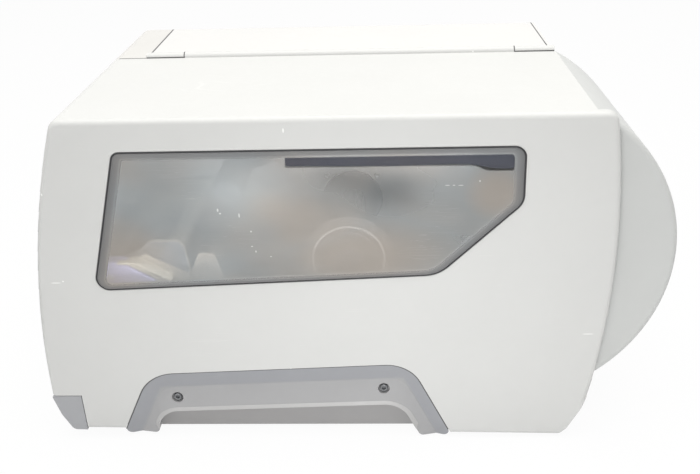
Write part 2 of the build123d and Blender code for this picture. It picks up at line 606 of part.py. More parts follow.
def platen_bearings():
    rings = []
    for x0, x1 in ((WALL_X0, WALL_X1), (CHEEK_X, CHEEK_X + CHEEK_T)):
        ring = rod_x(x0, x1, PLATEN_Y, PLATEN_Z, BEARING_R)
        rings.append(ring - rod_x(x0 - 1, x1 + 1, PLATEN_Y, PLATEN_Z, SHAFT_R + BORE_GAP))
    return Compound(rings)


def label_tray():
    tray = block(WALL_X1, CHEEK_X, TRAY_FRONT_Y, TRAY_REAR_Y, TRAY_Z - TRAY_T, TRAY_Z)
    for x in (WALL_X1, CHEEK_X - 4):
        tray += block(x, x + 4, TRAY_FRONT_Y + 6, TRAY_REAR_Y - 4, BED_TOP_Z, TRAY_Z - TRAY_T)
    return tray


def label_edge_guide():
    """Fence that slides across the tray to the label's width."""
    x = HEAD_X1 - 14
    low = TRAY_Z + GAP
    fence = block(x, x + 3, TRAY_FRONT_Y + 4, TRAY_REAR_Y - 2, low, low + 9)
    return fence + block(x - 12, x, TRAY_FRONT_Y + 16, TRAY_REAR_Y - 12, low, low + 2.2)


def gap_sensor():
    return block(HEAD_X0 + 42, HEAD_X0 + 64, TRAY_FRONT_Y + 14, TRAY_FRONT_Y + 34,
                 TRAY_Z - TRAY_T - 9, TRAY_Z - TRAY_T)


def head_shaft():
    return rod_x(WALL_X1, CHEEK_X + CHEEK_T, HEAD_PIVOT_Y, HEAD_PIVOT_Z, SHAFT_R)


def head_carrier():
    """Swinging frame that holds the print head over the platen."""
    py, pz = HEAD_PIVOT_Y, HEAD_PIVOT_Z
    arm = [(PLATEN_Y - 10, HEAD_SEAT_Z - 6), (PLATEN_Y - 10, pz - 2), (PLATEN_Y + 2, pz - 2),
           (PLATEN_Y + 8, HEAD_SEAT_Z + 10), (py - 12, pz + 8), (py + 8, pz + 8), (py + 8, pz - 10),
           (py - 10, pz - 20), (PLATEN_Y + 12, HEAD_SEAT_Z - 6)]
    carrier = block(HEAD_X0, HEAD_X1, PLATEN_Y - 6, PLATEN_Y + 12, HEAD_SEAT_Z, HEAD_SEAT_Z + HEAD_PLATE_T)
    for x in (HEAD_X0, HEAD_X1 - ARM_T):
        carrier += plate_x(arm, x, x + ARM_T, 2.0)
    carrier += rod_x(HEAD_X0, HEAD_X1, HEAD_PIVOT_Y, HEAD_PIVOT_Z, SHAFT_R + 3)
    return carrier - rod_x(HEAD_X0 - 1, HEAD_X1 + 1, HEAD_PIVOT_Y, HEAD_PIVOT_Z, SHAFT_R + BORE_GAP)


def print_head():
    """Thermal head block with its ceramic edge just above the platen."""
    low = PLATEN_Z + PLATEN_R + GAP
    x0, x1 = HEAD_X0 + 10, HEAD_X1 - 10
    head = block(x0, x1, PLATEN_Y - 6, PLATEN_Y + 10, low + 5, HEAD_SEAT_Z)
    return head + block(x0, x1, PLATEN_Y - 5, PLATEN_Y + 3, low, low + 5)


def head_heat_sink():
    x0, x1 = HEAD_X0 + 14, HEAD_X1 - 14
    y0, y1 = PLATEN_Y - 5, PLATEN_Y + 10
    base = HEAD_SEAT_Z + HEAD_PLATE_T
    sink = block(x0, x1, y0, y1, base, base + 3)
    for i in range(SINK_FINS):
        x = x0 + i * (x1 - x0 - 3) / (SINK_FINS - 1)
        sink += block(x, x + 3, y0, y1, base + 3, base + 12)
    return sink


def ribbon_guide_rod():
    return rod_x(HEAD_X0 + ARM_T, HEAD_X1 - ARM_T, PLATEN_Y - 4, HEAD_PIVOT_Z - 6.5, 2.5)


def lift_lever():
    """Coloured lever, rounded at both ends, that opens the head."""
    nose = LEVER_Y - LEVER_REACH
    points = [(nose, LEVER_Z - 11), (nose, LEVER_Z + 14), (LEVER_Y + 12, LEVER_Z + 12), (LEVER_Y + 12, LEVER_Z - 12)]
    lever = plate_x(points, LEVER_X0, LEVER_X0 + LEVER_T, [11.0, 12.0, 11.0, 11.0])
    lever = fillet(lever.faces().sort_by(Axis.X)[-1].edges(), 1.5)
    lever -= rod_x(LEVER_X0 - 1, LEVER_X0 + 8, LEVER_Y, LEVER_Z, LEVER_PIN_R + BORE_GAP)
    return lever - rod_x(LEVER_X0 + LEVER_T - SPOT_T, LEVER_X0 + LEVER_T + 1, nose + 10, LEVER_Z - 1, SPOT_R)


def lever_spot():
    x = LEVER_X0 + LEVER_T - SPOT_T
    return rod_x(x, x + SPOT_T, LEVER_Y - LEVER_REACH + 10, LEVER_Z - 1, SPOT_R)


# Media handling

def ribbon_spindle(y, z):
    """Hub with three spring fins and an inner flange, on a shaft through the centre wall."""
    start = WALL_X1 + GAP + FLANGE_T
    hub = rod_x(start, HUB_END_X, y, z, HUB_R)
    hub = chamfer(hub.edges().group_by(Axis.X)[-1], 2.0)
    for turn in (90, 210, 330):
        fin = Pos(0, 0, HUB_R) * Box(HUB_END_X - start - 16, 4.0, 2 * HUB_FIN)
        hub += Pos((start + HUB_END_X) / 2, y, z) * Rot(turn, 0, 0) * fin
    hub += rod_x(start - FLANGE_T, start, y, z, FLANGE_R)
    return hub + rod_x(WALL_X0 - 16, start - FLANGE_T, y, z, SHAFT_R)


def spindle_drive(y, z, r, depth):
    """Round housing behind the centre wall around a spindle shaft."""
    body = rod_x(WALL_X0 - depth, WALL_X0, y, z, r)
    return body - rod_x(WALL_X0 - 17, WALL_X0 + 1, y, z, SHAFT_R + BORE_GAP)


def label_post():
    """Beam that the label roll hangs on, with its foot on the centre wall."""
    y0, y1 = POST_Y - POST_W / 2, POST_Y + POST_W / 2
    z0, z1 = POST_Z - POST_H / 2, POST_Z + POST_H / 2
    beam = plate_x([(y0, z0), (y0, z1), (y1, z1), (y1, z0)], WALL_X1, POST_END_X, [3.0, 6.5, 6.5, 3.0])
    return beam + rod_x(WALL_X1, WALL_X1 + 4, POST_Y, POST_Z, 24.0)


def roll_retainer():
    """Disc that slides along the post and holds the roll sideways."""
    y0, y1 = POST_Y - POST_W / 2 - GAP, POST_Y + POST_W / 2 + GAP
    z0, z1 = POST_Z - POST_H / 2 - GAP, POST_Z + POST_H / 2 + GAP
    x0, x1 = RETAINER_X, RETAINER_X + RETAINER_T
    disc = rod_x(x0, x1, POST_Y, POST_Z, RETAINER_R)
    disc = fillet(disc.edges().group_by(Axis.X)[-1], 2.0)
    return disc - plate_x([(y0, z0), (y0, z1), (y1, z1), (y1, z0)], x0 - 1, x1 + 1, [3.2, 6.5, 6.5, 3.2])


def label_damper():
    """Arm with a roller rod that takes up slack in the label web."""
    x0 = WALL_X1 + GAP
    arm = plate_x([(DAMPER_Y + 7, DAMPER_Z - 7), (DAMPER_ROD_Y - 7, DAMPER_ROD_Z - 9),
                   (DAMPER_ROD_Y - 7, DAMPER_ROD_Z + 9), (DAMPER_Y + 7, DAMPER_Z + 8)], x0, x0 + 4, 5.0)
    arm += rod_x(x0 + 4, HUB_END_X, DAMPER_ROD_Y, DAMPER_ROD_Z, DAMPER_ROD_R)
    return arm + rod_x(WALL_X0 - 3, x0, DAMPER_Y, DAMPER_Z, DAMPER_PIN_R)


# Drive and electronics

def step_motor():
    half = MOTOR_SIZE / 2
    body = block(MOTOR_FACE_X - MOTOR_L, MOTOR_FACE_X, MOTOR_Y - half, MOTOR_Y + half, MOTOR_Z - half, MOTOR_Z + half)
    body = chamfer(body.edges().filter_by(Axis.X), 6.0)
    return body - rod_x(MOTOR_FACE_X - 12, MOTOR_FACE_X + 1, MOTOR_Y, MOTOR_Z, MOTOR_SHAFT_R + BORE_GAP)


def motor_bracket():
    """Plate that holds the motor on four posts off the centre wall."""
    half = MOTOR_SIZE / 2
    x1 = MOTOR_FACE_X + 3
    plate = block(MOTOR_FACE_X, x1, MOTOR_Y - half, MOTOR_Y + half, MOTOR_Z - half, MOTOR_Z + half)
    plate -= rod_x(MOTOR_FACE_X - 1, x1 + 1, MOTOR_Y, MOTOR_Z, 6.0)
    for dy in (-half / 2, half - 4):
        for side in (-1, 1):
            plate += rod_x(x1, WALL_X0, MOTOR_Y + dy, MOTOR_Z + side * (half - 4), 3.5)
    return plate


def toothless_pulley(y, z, r):
    """Belt pulley with a lip on each side."""
    wheel = rod_x(PULLEY_X0, PULLEY_X1, y, z, r)
    for x0 in (PULLEY_X0, PULLEY_X1 - 1):
        wheel += rod_x(x0, x0 + 1, y, z, r + PULLEY_LIP)
    return wheel


def platen_pulley():
    wheel = toothless_pulley(PLATEN_Y, PLATEN_Z, PLATEN_PULLEY_R)
    return wheel - rod_x(PULLEY_X0 - 1, PULLEY_X1 + 1, PLATEN_Y, PLATEN_Z, SHAFT_R)


def motor_pulley():
    wheel = toothless_pulley(MOTOR_Y, MOTOR_Z, MOTOR_PULLEY_R)
    return wheel + rod_x(MOTOR_FACE_X - 11, PULLEY_X0, MOTOR_Y, MOTOR_Z, MOTOR_SHAFT_R)


def drive_belt():
    """Belt around both pulleys, clear of their lips."""
    def loop(grow):
        big = Pos(PLATEN_Y, PLATEN_Z) * Circle(PLATEN_PULLEY_R + grow)
        small = Pos(MOTOR_Y, MOTOR_Z) * Circle(MOTOR_PULLEY_R + grow)
        return make_hull(big.edges() + small.edges())
    x0, x1 = PULLEY_X0 + 1 + GAP, PULLEY_X1 - 1 - GAP
    return prism_x(loop(GAP + BELT_T), x0, x1) - prism_x(loop(GAP), x0 - 1, x1 + 1)


def main_board():
    y0, y1, z0, z1 = BOARD_Y0, BOARD_Y1, BOARD_Z0, BOARD_Z1
    board = block(BOARD_X, BOARD_X + BOARD_T, y0, y1, z0, z1)
    for y, z, w, h, t in ((y0 + 35, z1 - 55, 34, 34, 3), (y1 - 95, z1 - 45, 24, 40, 3),
                          (y1 - 75, z0 + 40, 30, 30, 16), (y0 + 55, z0 + 30, 20, 26, 12)):
        board += block(BOARD_X - t, BOARD_X, y, y + w, z, z + h)
    return board


def board_posts():
    corners = [(y, z) for y in (BOARD_Y0 + 10, BOARD_Y1 - 10) for z in (BOARD_Z0 + 10, BOARD_Z1 - 10)]
    return Compound([rod_x(BOARD_X + BOARD_T, WALL_X0, y, z, 3.0) for y, z in corners])


def power_supply():
    x0, x1 = LEFT_X + 20, WALL_X0 - 28
    y0 = SUPPLY_UNIT_Y1 - SUPPLY_UNIT_L
    body = block(x0, x1, y0, SUPPLY_UNIT_Y1, PAN_LOW_Z + SHEET, INLET_Z)
    for i in range(8):
        y = y0 + 12 * (i + 1)
        body -= block(x0 - 2, x1 + 2, y, y + 4, INLET_Z - 6, INLET_Z + 1)
    return body


def rear_panel():
    """Steel panel of the electronics side with cut-outs for the connectors."""
    x0, x1 = LEFT_X + WALL, WALL_X0
    panel = block(x0, x1, PANEL_REAR_Y - 2, PANEL_REAR_Y, DECK_Z - WALL, TOP_Z - WALL - RAIL_T - 2)
    y0, y1 = PANEL_REAR_Y - 3, PANEL_REAR_Y + 1
    panel -= block(INLET_X - INLET_W / 2, INLET_X + INLET_W / 2, y0, y1, INLET_Z - INLET_H / 2, INLET_Z + INLET_H / 2)
    panel -= block(INLET_X - SWITCH_W / 2, INLET_X + SWITCH_W / 2, y0, y1,
                   SWITCH_Z - SWITCH_H / 2, SWITCH_Z + SWITCH_H / 2)
    for x, z, w, h in PORTS:
        panel -= block(x - w / 2, x + w / 2, y0, y1, z - h / 2, z + h / 2)
    for i in range(8):
        z = TOP_Z - 75 + i * 7.0
        panel -= block(x0 + 14, x1 - 16, y0, y1, z, z + 3)
    return panel


def rear_screws():
    screws = []
    for x in (LEFT_X + WALL + 6, WALL_X0 - 6):
        for z in (DECK_Z + 6, TOP_Z - 20):
            head = rod_y(PANEL_REAR_Y, PANEL_REAR_Y + 1.6, x, z, 3.2)
            screws.append(fillet(head.edges().group_by(Axis.Y)[-1], 0.9))
    return Compound(screws)


def power_inlet():
    """Mains inlet with three pins in its recess."""
    y0 = PANEL_REAR_Y - 24
    body = block(INLET_X - INLET_W / 2, INLET_X + INLET_W / 2, y0, PANEL_REAR_Y,
                 INLET_Z - INLET_H / 2, INLET_Z + INLET_H / 2)
    flange = block(INLET_X - 20, INLET_X + 20, PANEL_REAR_Y, PANEL_REAR_Y + 1.8, INLET_Z - 12, INLET_Z + 12)
    body += chamfer(flange.edges().filter_by(Axis.Y), 4.0)
    body -= block(INLET_X - 12, INLET_X + 12, PANEL_REAR_Y - 15, PANEL_REAR_Y + 3, INLET_Z - 8, INLET_Z + 8)
    for dx, dz in ((-7, -2), (0, 3), (7, -2)):
        body += block(INLET_X + dx - 1, INLET_X + dx + 1, PANEL_REAR_Y - 16, PANEL_REAR_Y - 1,
                      INLET_Z + dz - 2, INLET_Z + dz + 2)
    return body


def switch_frame():
    frame = block(INLET_X - SWITCH_W / 2, INLET_X + SWITCH_W / 2, PANEL_REAR_Y - 14, PANEL_REAR_Y,
                  SWITCH_Z - SWITCH_H / 2, SWITCH_Z + SWITCH_H / 2)
    frame += block(INLET_X - SWITCH_W / 2 - 2, INLET_X + SWITCH_W / 2 + 2, PANEL_REAR_Y, PANEL_REAR_Y + 1.5,
                   SWITCH_Z - SWITCH_H / 2 - 2, SWITCH_Z + SWITCH_H / 2 + 2)
    frame -= block(INLET_X - SWITCH_W / 2 + 1.5, INLET_X + SWITCH_W / 2 - 1.5, PANEL_REAR_Y - 9,
                   PANEL_REAR_Y + 3, SWITCH_Z - SWITCH_H / 2 + 1.5, SWITCH_Z + SWITCH_H / 2 - 1.5)
    reach = SWITCH_H / 2 - 0.7
    return frame - rod_z(SWITCH_Z - reach, SWITCH_Z + reach, INLET_X, ROCKER_Y, ROCKER_PIN_R + BORE_GAP)


def power_rocker():
    """Rocker drawn at its off end. Its shallow V top tips on two stub pins in the frame."""
    half = SWITCH_W / 2 - 1.5 - GAP - 0.4
    width = SWITCH_H - 3 - 2 * GAP
    points = [(-half, 2.0), (-half, 5.2), (0.0, 3.6), (half, 5.2), (half, 2.0), (2.5, -2.6), (-2.5, -2.6)]
    rocker = extrude(make_face(Polyline(*points, close=True)), amount=width / 2, both=True)
    rocker += rod_z(-SWITCH_H / 2 + 0.9, SWITCH_H / 2 - 0.9, 0, 0, ROCKER_PIN_R)
    tilted = Rot(0, 0, ROCKER_TILT / 2) * rocker
    return Pos(INLET_X, ROCKER_Y, SWITCH_Z) * tilted


def interface_sockets():
    sockets = []
    for x, z, w, h in PORTS:
        y1 = PANEL_REAR_Y + 0.8
        shell = block(x - w / 2, x + w / 2, BOARD_Y1 - 8, y1, z - h / 2, z + h / 2)
        shell -= block(x - w / 2 + 1.2, x + w / 2 - 1.2, y1 - 10, y1 + 1, z - h / 2 + 1.2, z + h / 2 - 1.2)
        sockets.append(shell)
    return Compound(sockets)


def mirrored(shape):
    return mirror(shape, about=Plane.YZ)


os.makedirs("parts", exist_ok=True)
right_skirt = arch_skirt()
NODES = {
    "base_pan": base_pan(),
    "media_deck": media_deck(),
    "rear_sill": rear_sill(),
    "centre_wall": centre_wall(),
    "hinge_rail": hinge_rail(),
    "hinge_pin": rod_y(SEAM_FRONT_Y, SEAM_REAR_Y, HINGE_X, HINGE_Z, PIN_R),
    "left_cover": left_cover(),
    "front_bezel": front_bezel(),
    "front_chin": front_chin(),
    "exit_fascia": exit_fascia(),
    "arch_skirt_right": right_skirt,
    "arch_skirt_left": mirrored(right_skirt),
    "skirt_screws": skirt_screws(),
    "rubber_feet": rubber_feet(),
    "side_door": side_door(),
    "door_window": door_window(),
    "window_retainer": window_retainer(),
    "door_rear_bulge": door_rear_bulge(),
    "display_lens": display_lens(),
    "display_module": display_module(),
    "status_lamps": status_lamps(),
    "pause_button": panel_button(-1),
    "feed_button": panel_button(0),
    "cancel_button": panel_button(1),
    "control_board": control_board(),
    "print_bed": print_bed(),
    "tear_bar": tear_bar(),
    "platen_rubber": platen_rubber(),
    "platen_shaft": platen_shaft(),
    "platen_bearings": platen_bearings(),
    "label_tray": label_tray(),
    "label_edge_guide": label_edge_guide(),
    "gap_sensor": gap_sensor(),
    "head_shaft": head_shaft(),
    "head_carrier": head_carrier(),
    "print_head": print_head(),
    "head_heat_sink": head_heat_sink(),
    "ribbon_guide_rod": ribbon_guide_rod(),
    "lift_lever": lift_lever(),
    "lever_spot": lever_spot(),
    "supply_spindle": ribbon_spindle(SUPPLY_Y, SUPPLY_Z),
    "rewind_spindle": ribbon_spindle(REWIND_Y, REWIND_Z),
    "supply_clutch": spindle_drive(SUPPLY_Y, SUPPLY_Z, 18.0, 20.0),
    "rewind_motor": spindle_drive(REWIND_Y, REWIND_Z, 19.0, 62.0),
    "label_post": label_post(),
    "roll_retainer": roll_retainer(),
    "label_damper": label_damper(),
    "step_motor": step_motor(),
    "motor_bracket": motor_bracket(),
    "motor_pulley": motor_pulley(),
    "platen_pulley": platen_pulley(),
    "drive_belt": drive_belt(),
    "main_board": Compound([main_board(), board_posts()]),
    "power_supply": power_supply(),
    "rear_panel": rear_panel(),
    "rear_screws": rear_screws(),
    "power_inlet": power_inlet(),
    "switch_frame": switch_frame(),
    "power_rocker": power_rocker(),
    "interface_sockets": interface_sockets(),
}
for name, shape in NODES.items():
    export_step(shape, f"parts/{name}.step")
print(len(NODES), "nodes")
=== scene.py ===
import json
import logging
import math
from collections.abc import Sequence
from dataclasses import dataclass
from enum import Enum
from functools import cache, reduce

import bmesh
import bpy
import numpy as np
from mathutils import Matrix, Vector


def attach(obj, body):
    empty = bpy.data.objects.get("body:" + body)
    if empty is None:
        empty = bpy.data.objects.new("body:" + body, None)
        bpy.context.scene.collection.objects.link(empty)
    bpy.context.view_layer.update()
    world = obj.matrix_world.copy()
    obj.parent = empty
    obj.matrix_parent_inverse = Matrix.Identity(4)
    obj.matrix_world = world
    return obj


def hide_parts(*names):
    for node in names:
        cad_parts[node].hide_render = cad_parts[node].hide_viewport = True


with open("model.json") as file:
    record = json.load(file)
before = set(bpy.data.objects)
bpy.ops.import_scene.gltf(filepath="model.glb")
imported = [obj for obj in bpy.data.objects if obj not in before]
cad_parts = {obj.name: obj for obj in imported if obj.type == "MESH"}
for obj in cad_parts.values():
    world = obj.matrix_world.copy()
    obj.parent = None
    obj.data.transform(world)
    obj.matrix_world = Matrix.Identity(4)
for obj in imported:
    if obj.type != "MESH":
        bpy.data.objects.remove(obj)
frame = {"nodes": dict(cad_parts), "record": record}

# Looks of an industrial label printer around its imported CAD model.
# +X is the door side, -Y the front where labels leave, +Z up. Sizes are in millimetres, and MM turns them into
# metres where they reach a mesh or a shader. The two reel axes are given as y and z.

LOG = logging.getLogger("label_printer")
MM = 0.001
SUPPLY_AXIS = (-0.5, 144.0)
REWIND_AXIS = (-92.5, 205.0)

# A Number or a Value goes into a node's input. A Footprint is a y, a z and two sizes, and Points are flat pairs.
Socket = bpy.types.NodeSocket
Number = float | Socket
Value = Number | Sequence[float]
Values = dict[str | int, Value]
Colour = tuple[float, float, float]
Limits = tuple[float, float]
Footprint = tuple[float, float, float, float]
Points = Sequence[tuple[float, float]]
Place = tuple[float, float, float]
Box = tuple[Sequence[float], Sequence[float]]


# Node trees


class Graph:
    """A node tree with short ways to add nodes and join them."""

    def __init__(self, tree: bpy.types.NodeTree) -> None:
        """Keeps the tree that the nodes go into."""
        self.tree = tree

    def add(self, kind: str, values: Values | None = None, **settings: object) -> bpy.types.Node:
        """Adds one node.

        Args:
            kind: Blender's name of the node type.
            values: What goes into its inputs: a plain value, or the socket to join.
            **settings: Properties of the node itself.

        Returns:
            The new node.
        """
        node = self.tree.nodes.new(kind)
        for key, value in settings.items():
            setattr(node, key, value)
        for name, value in (values or {}).items():
            self.feed(node.inputs[name], value)
        return node

    def feed(self, target: Socket, value: Value) -> None:
        """Gives an input its value.

        Args:
            target: The input.
            value: The socket to join to it, or the plain value to write into it.
        """
        if isinstance(value, Socket):
            self.tree.links.new(value, target)
        else:
            target.default_value = value

    def math(self, operation: str, a: Number, b: Number = 0.0, clamp: bool = False) -> Socket:
        """Joins two numbers by a Math node and returns its output."""
        return self.add("ShaderNodeMath", {0: a, 1: b}, operation=operation, use_clamp=clamp).outputs[0]

    def plus(self, a: Number, b: Number, clamp: bool = False) -> Socket:
        """Returns a + b."""
        return self.math("ADD", a, b, clamp)

    def minus(self, a: Number, b: Number) -> Socket:
        """Returns a - b."""
        return self.math("SUBTRACT", a, b)

    def times(self, a: Number, b: Number, clamp: bool = False) -> Socket:
        """Returns a times b."""
        return self.math("MULTIPLY", a, b, clamp)

    def most(self, a: Number, b: Number) -> Socket:
        """Returns the larger of a and b."""
        return self.math("MAXIMUM", a, b)

    def least(self, a: Number, b: Number) -> Socket:
        """Returns the smaller of a and b."""
        return self.math("MINIMUM", a, b)

    def vector_math(self, operation: str, *values: Value) -> bpy.types.NodeOutputs:
        """Joins vectors by a Vector Math node, in the order of its inputs, and returns its outputs."""
        return self.add("ShaderNodeVectorMath", dict(enumerate(values)), operation=operation).outputs

    def noise(self, vector: Socket, scale: Number, detail: float = 2.0, rough: float = 0.5) -> Socket:
        """Adds a noise texture and returns its value, which lies around one half."""
        values = {"Vector": vector, "Scale": scale, "Detail": detail, "Roughness": rough}
        return self.add("ShaderNodeTexNoise", values).outputs["Fac"]

    def ramp(self, value: Socket, low: Number, high: float) -> Socket:
        """Maps low..high onto 0..1, smooth at both ends, and returns the result."""
        values = {"Value": value, "From Min": low, "From Max": high}
        return self.add("ShaderNodeMapRange", values, interpolation_type="SMOOTHSTEP").outputs["Result"]

    def ramp_mm(self, value: Socket, limits: Limits) -> Socket:
        """Maps a length between two limits in millimetres onto 0..1, as ramp does."""
        return self.ramp(value, limits[0] * MM, limits[1] * MM)

    def mix(self, share: Socket, a: Value, b: Value) -> Socket:
        """Mixes two colours.

        Args:
            share: How much of the second one, from 0 to 1.
            a: First colour.
            b: Second colour.

        Returns:
            The mixed colour.
        """
        node = self.add("ShaderNodeMix", data_type="RGBA")
        for index, value in ((0, share), (6, a), (7, b)):
            self.feed(node.inputs[index], value)
        return node.outputs[2]

    def stretch(self, vector: Socket, scale: Sequence[float], turn: Sequence[float] = (0, 0, 0)) -> Socket:
        """Scales and turns texture coordinates and returns them."""
        values = {"Vector": vector, "Scale": scale, "Rotation": turn}
        return self.add("ShaderNodeMapping", values).outputs["Vector"]


def rgba(colour: Colour) -> tuple[float, float, float, float]:
    """Adds a full alpha to a colour."""
    return (*colour, 1.0)


def open_group(name: str, ins: dict[str, tuple[str, Value | None]],
               out: tuple[str, str]) -> tuple[Graph, bpy.types.NodeOutputs, Socket]:
    """Opens a node group with its named sockets.

    Args:
        name: Name of the group.
        ins: Socket types and default values of the inputs, by name.
        out: Name and socket type of the output.

    Returns:
        The group's graph, its input node's sockets and the socket that its result goes to.
    """
    tree = bpy.data.node_groups.new(name, "ShaderNodeTree")
    for label, (kind, value) in ins.items():
        socket = tree.interface.new_socket(label, in_out="INPUT", socket_type=kind)
        if value is not None:
            socket.default_value = value
    tree.interface.new_socket(out[0], in_out="OUTPUT", socket_type=out[1])
    graph = Graph(tree)
    return graph, graph.add("NodeGroupInput").outputs, graph.add("NodeGroupOutput").inputs[out[0]]


class Effects:
    """Node groups for effects that more than one finish uses, each built once and then kept by the cache."""

    @staticmethod
    @cache
    def drift() -> bpy.types.NodeTree:
        """Slow change of tone over a moulding: colour times one plus two octaves of broad noise.

        Returns:
            The group, which puts out a colour.
        """
        g, ins, out = open_group("tone_drift", {
            "Vector": ("NodeSocketVector", None), "Colour": ("NodeSocketColor", (0.8, 0.8, 0.8, 1)),
            "Amount": ("NodeSocketFloat", 0.05), "Scale": ("NodeSocketFloat", 16.0)}, ("Colour", "NodeSocketColor"))
        broad = g.noise(ins["Vector"], ins["Scale"], 3.0)
        tall = g.noise(ins["Vector"], g.times(ins["Scale"], 9.0), 2.0)
        swing = g.plus(g.minus(broad, 0.5), g.times(g.minus(tall, 0.5), 0.35))
        gain = g.plus(g.times(swing, g.times(ins["Amount"], 2.0)), 1.0)
        g.feed(out, g.add("ShaderNodeVectorMath", {0: ins["Colour"], 3: gain}, operation="SCALE").outputs[0])
        return g.tree

    @staticmethod
    @cache
    def grain() -> bpy.types.NodeTree:
        """Spark-eroded mould texture: fine noise cut by the cells of a Voronoi texture.

        Returns:
            The group, which puts out a height.
        """
        g, ins, out = open_group("mould_grain", {
            "Vector": ("NodeSocketVector", None), "Scale": ("NodeSocketFloat", 1200.0)},
            ("Height", "NodeSocketFloat"))
        fine = g.noise(ins["Vector"], ins["Scale"], 3.0, 0.6)
        cells = g.add("ShaderNodeTexVoronoi", {"Vector": ins["Vector"], "Scale": ins["Scale"]}, feature="SMOOTH_F1")
        g.feed(out, g.plus(fine, g.times(cells.outputs["Distance"], 0.5)))
        return g.tree

    @staticmethod
    @cache
    def streaks() -> bpy.types.NodeTree:
        """Rolled or ground lines: noise stretched forty to one along one axis.

        Returns:
            The group, which puts out a height.
        """
        g, ins, out = open_group("rolled_streaks", {
            "Vector": ("NodeSocketVector", None), "Scale": ("NodeSocketFloat", 1.0)}, ("Height", "NodeSocketFloat"))
        across = g.vector_math("MULTIPLY", ins["Vector"], (40.0, 1600.0, 1600.0))[0]
        g.feed(out, g.noise(across, ins["Scale"], 4.0, 0.65))
        return g.tree

    @staticmethod
    @cache
    def dust() -> bpy.types.NodeTree:
        """Dust that settles on faces that look up: the piece's own normal times patchy noise.

        Returns:
            The group, which puts out a mask.
        """
        g, ins, out = open_group("settled_dust", {
            "Vector": ("NodeSocketVector", None), "Normal": ("NodeSocketVector", None),
            "Amount": ("NodeSocketFloat", 0.1)}, ("Mask", "NodeSocketFloat"))
        up = g.add("ShaderNodeSeparateXYZ", {0: ins["Normal"]}).outputs["Z"]
        patches = g.ramp(g.noise(ins["Vector"], 90.0, 5.0, 0.65), 0.35, 0.75)
        facing = g.ramp(up, 0.1, 1.0)
        g.feed(out, g.times(g.times(facing, patches), ins["Amount"], clamp=True))
        return g.tree

    @staticmethod
    @cache
    def scuffs() -> bpy.types.NodeTree:
        """Sparse hair scratches: thin bands of stretched noise in two directions, kept only in patches.

        Returns:
            The group, which puts out a mask.
        """
        g, ins, out = open_group("hair_scuffs", {
            "Vector": ("NodeSocketVector", None), "Amount": ("NodeSocketFloat", 0.3)}, ("Mask", "NodeSocketFloat"))
        masks = []
        for turn, seed in ((0.6, 3.0), (-0.9, 11.0)):
            laid = g.stretch(ins["Vector"], (30.0, 12.0, 900.0), (turn, 0.0, 0.0))
            lines = g.noise(g.vector_math("ADD", laid, (seed, seed, seed))[0], 1.0, 1.0)
            band = g.math("ABSOLUTE", g.minus(lines, 0.5))
            thin = g.minus(1.0, g.ramp(band, 0.0, 0.012))
            patch = g.ramp(g.noise(g.stretch(ins["Vector"], (14.0, 14.0, 14.0), (0, 0, seed)), 1.0, 3.0), 0.58, 0.72)
            masks.append(g.times(thin, patch))
        g.feed(out, g.times(g.most(*masks), ins["Amount"], clamp=True))
        return g.tree

    @staticmethod
    @cache
    def spot() -> bpy.types.NodeTree:
        """Ellipse about a place: with d the length of the scaled and shifted place, it fades from d = core to d = 1.

        Returns:
            The group, which puts out a mask.
        """
        g, ins, out = open_group("touched_spot", {
            "Vector": ("NodeSocketVector", None), "Scale": ("NodeSocketVector", None),
            "Shift": ("NodeSocketVector", None), "Core": ("NodeSocketFloat", 0.5)}, ("Mask", "NodeSocketFloat"))
        local = g.vector_math("MULTIPLY_ADD", ins["Vector"], ins["Scale"], ins["Shift"])[0]
        g.feed(out, g.minus(1.0, g.ramp(g.vector_math("LENGTH", local)["Value"], ins["Core"], 1.0)))
        return g.tree


def place(graph: Graph, tree: bpy.types.NodeTree, values: Values) -> bpy.types.NodeOutputs:
    """Puts an effect group into a material and returns its outputs."""
    return graph.add("ShaderNodeGroup", values, node_tree=tree).outputs


def spot(g: Graph, vector: Socket, y: float, z: float, wide: float, tall: float, core: float = 0.5) -> Socket:
    """Marks an ellipse on the side of the printer.

    Args:
        g: Graph of the material.
        vector: Object coordinates in metres.
        y: Middle of the ellipse, in millimetres.
        z: Its height, in millimetres.
        wide: Half of its length along y, in millimetres.
        tall: Half of its height, in millimetres.
        core: Share of its size inside which the mask is full.

    Returns:
        The mask: one inside the core and none at the rim.
    """
    values = {"Vector": vector, "Scale": (0.0, 1 / (wide * MM), 1 / (tall * MM)),
              "Shift": (0.0, -y / wide, -z / tall), "Core": core}
    return place(g, Effects.spot(), values)["Mask"]


def new_material(name: str) -> tuple[bpy.types.Material, Graph, bpy.types.Node]:
    """Opens a new material.

    Args:
        name: Its name.

    Returns:
        The material, its graph and its Principled BSDF.
    """
    made = bpy.data.materials.new(name)
    made.use_nodes = True
    return made, Graph(made.node_tree), made.node_tree.nodes["Principled BSDF"]


# Finishes


DUST_GREY: Colour = (0.62, 0.60, 0.56)


class Texture(Enum):
    """How a surface was made, which sets its fine relief."""

    SPARK = "spark-eroded mould"
    PEEL = "sprayed paint"
    CAST = "sand-finished casting"
    ROLLED = "rolled or ground metal"
    GROUND = "ground rubber"
    SMOOTH = "polished"


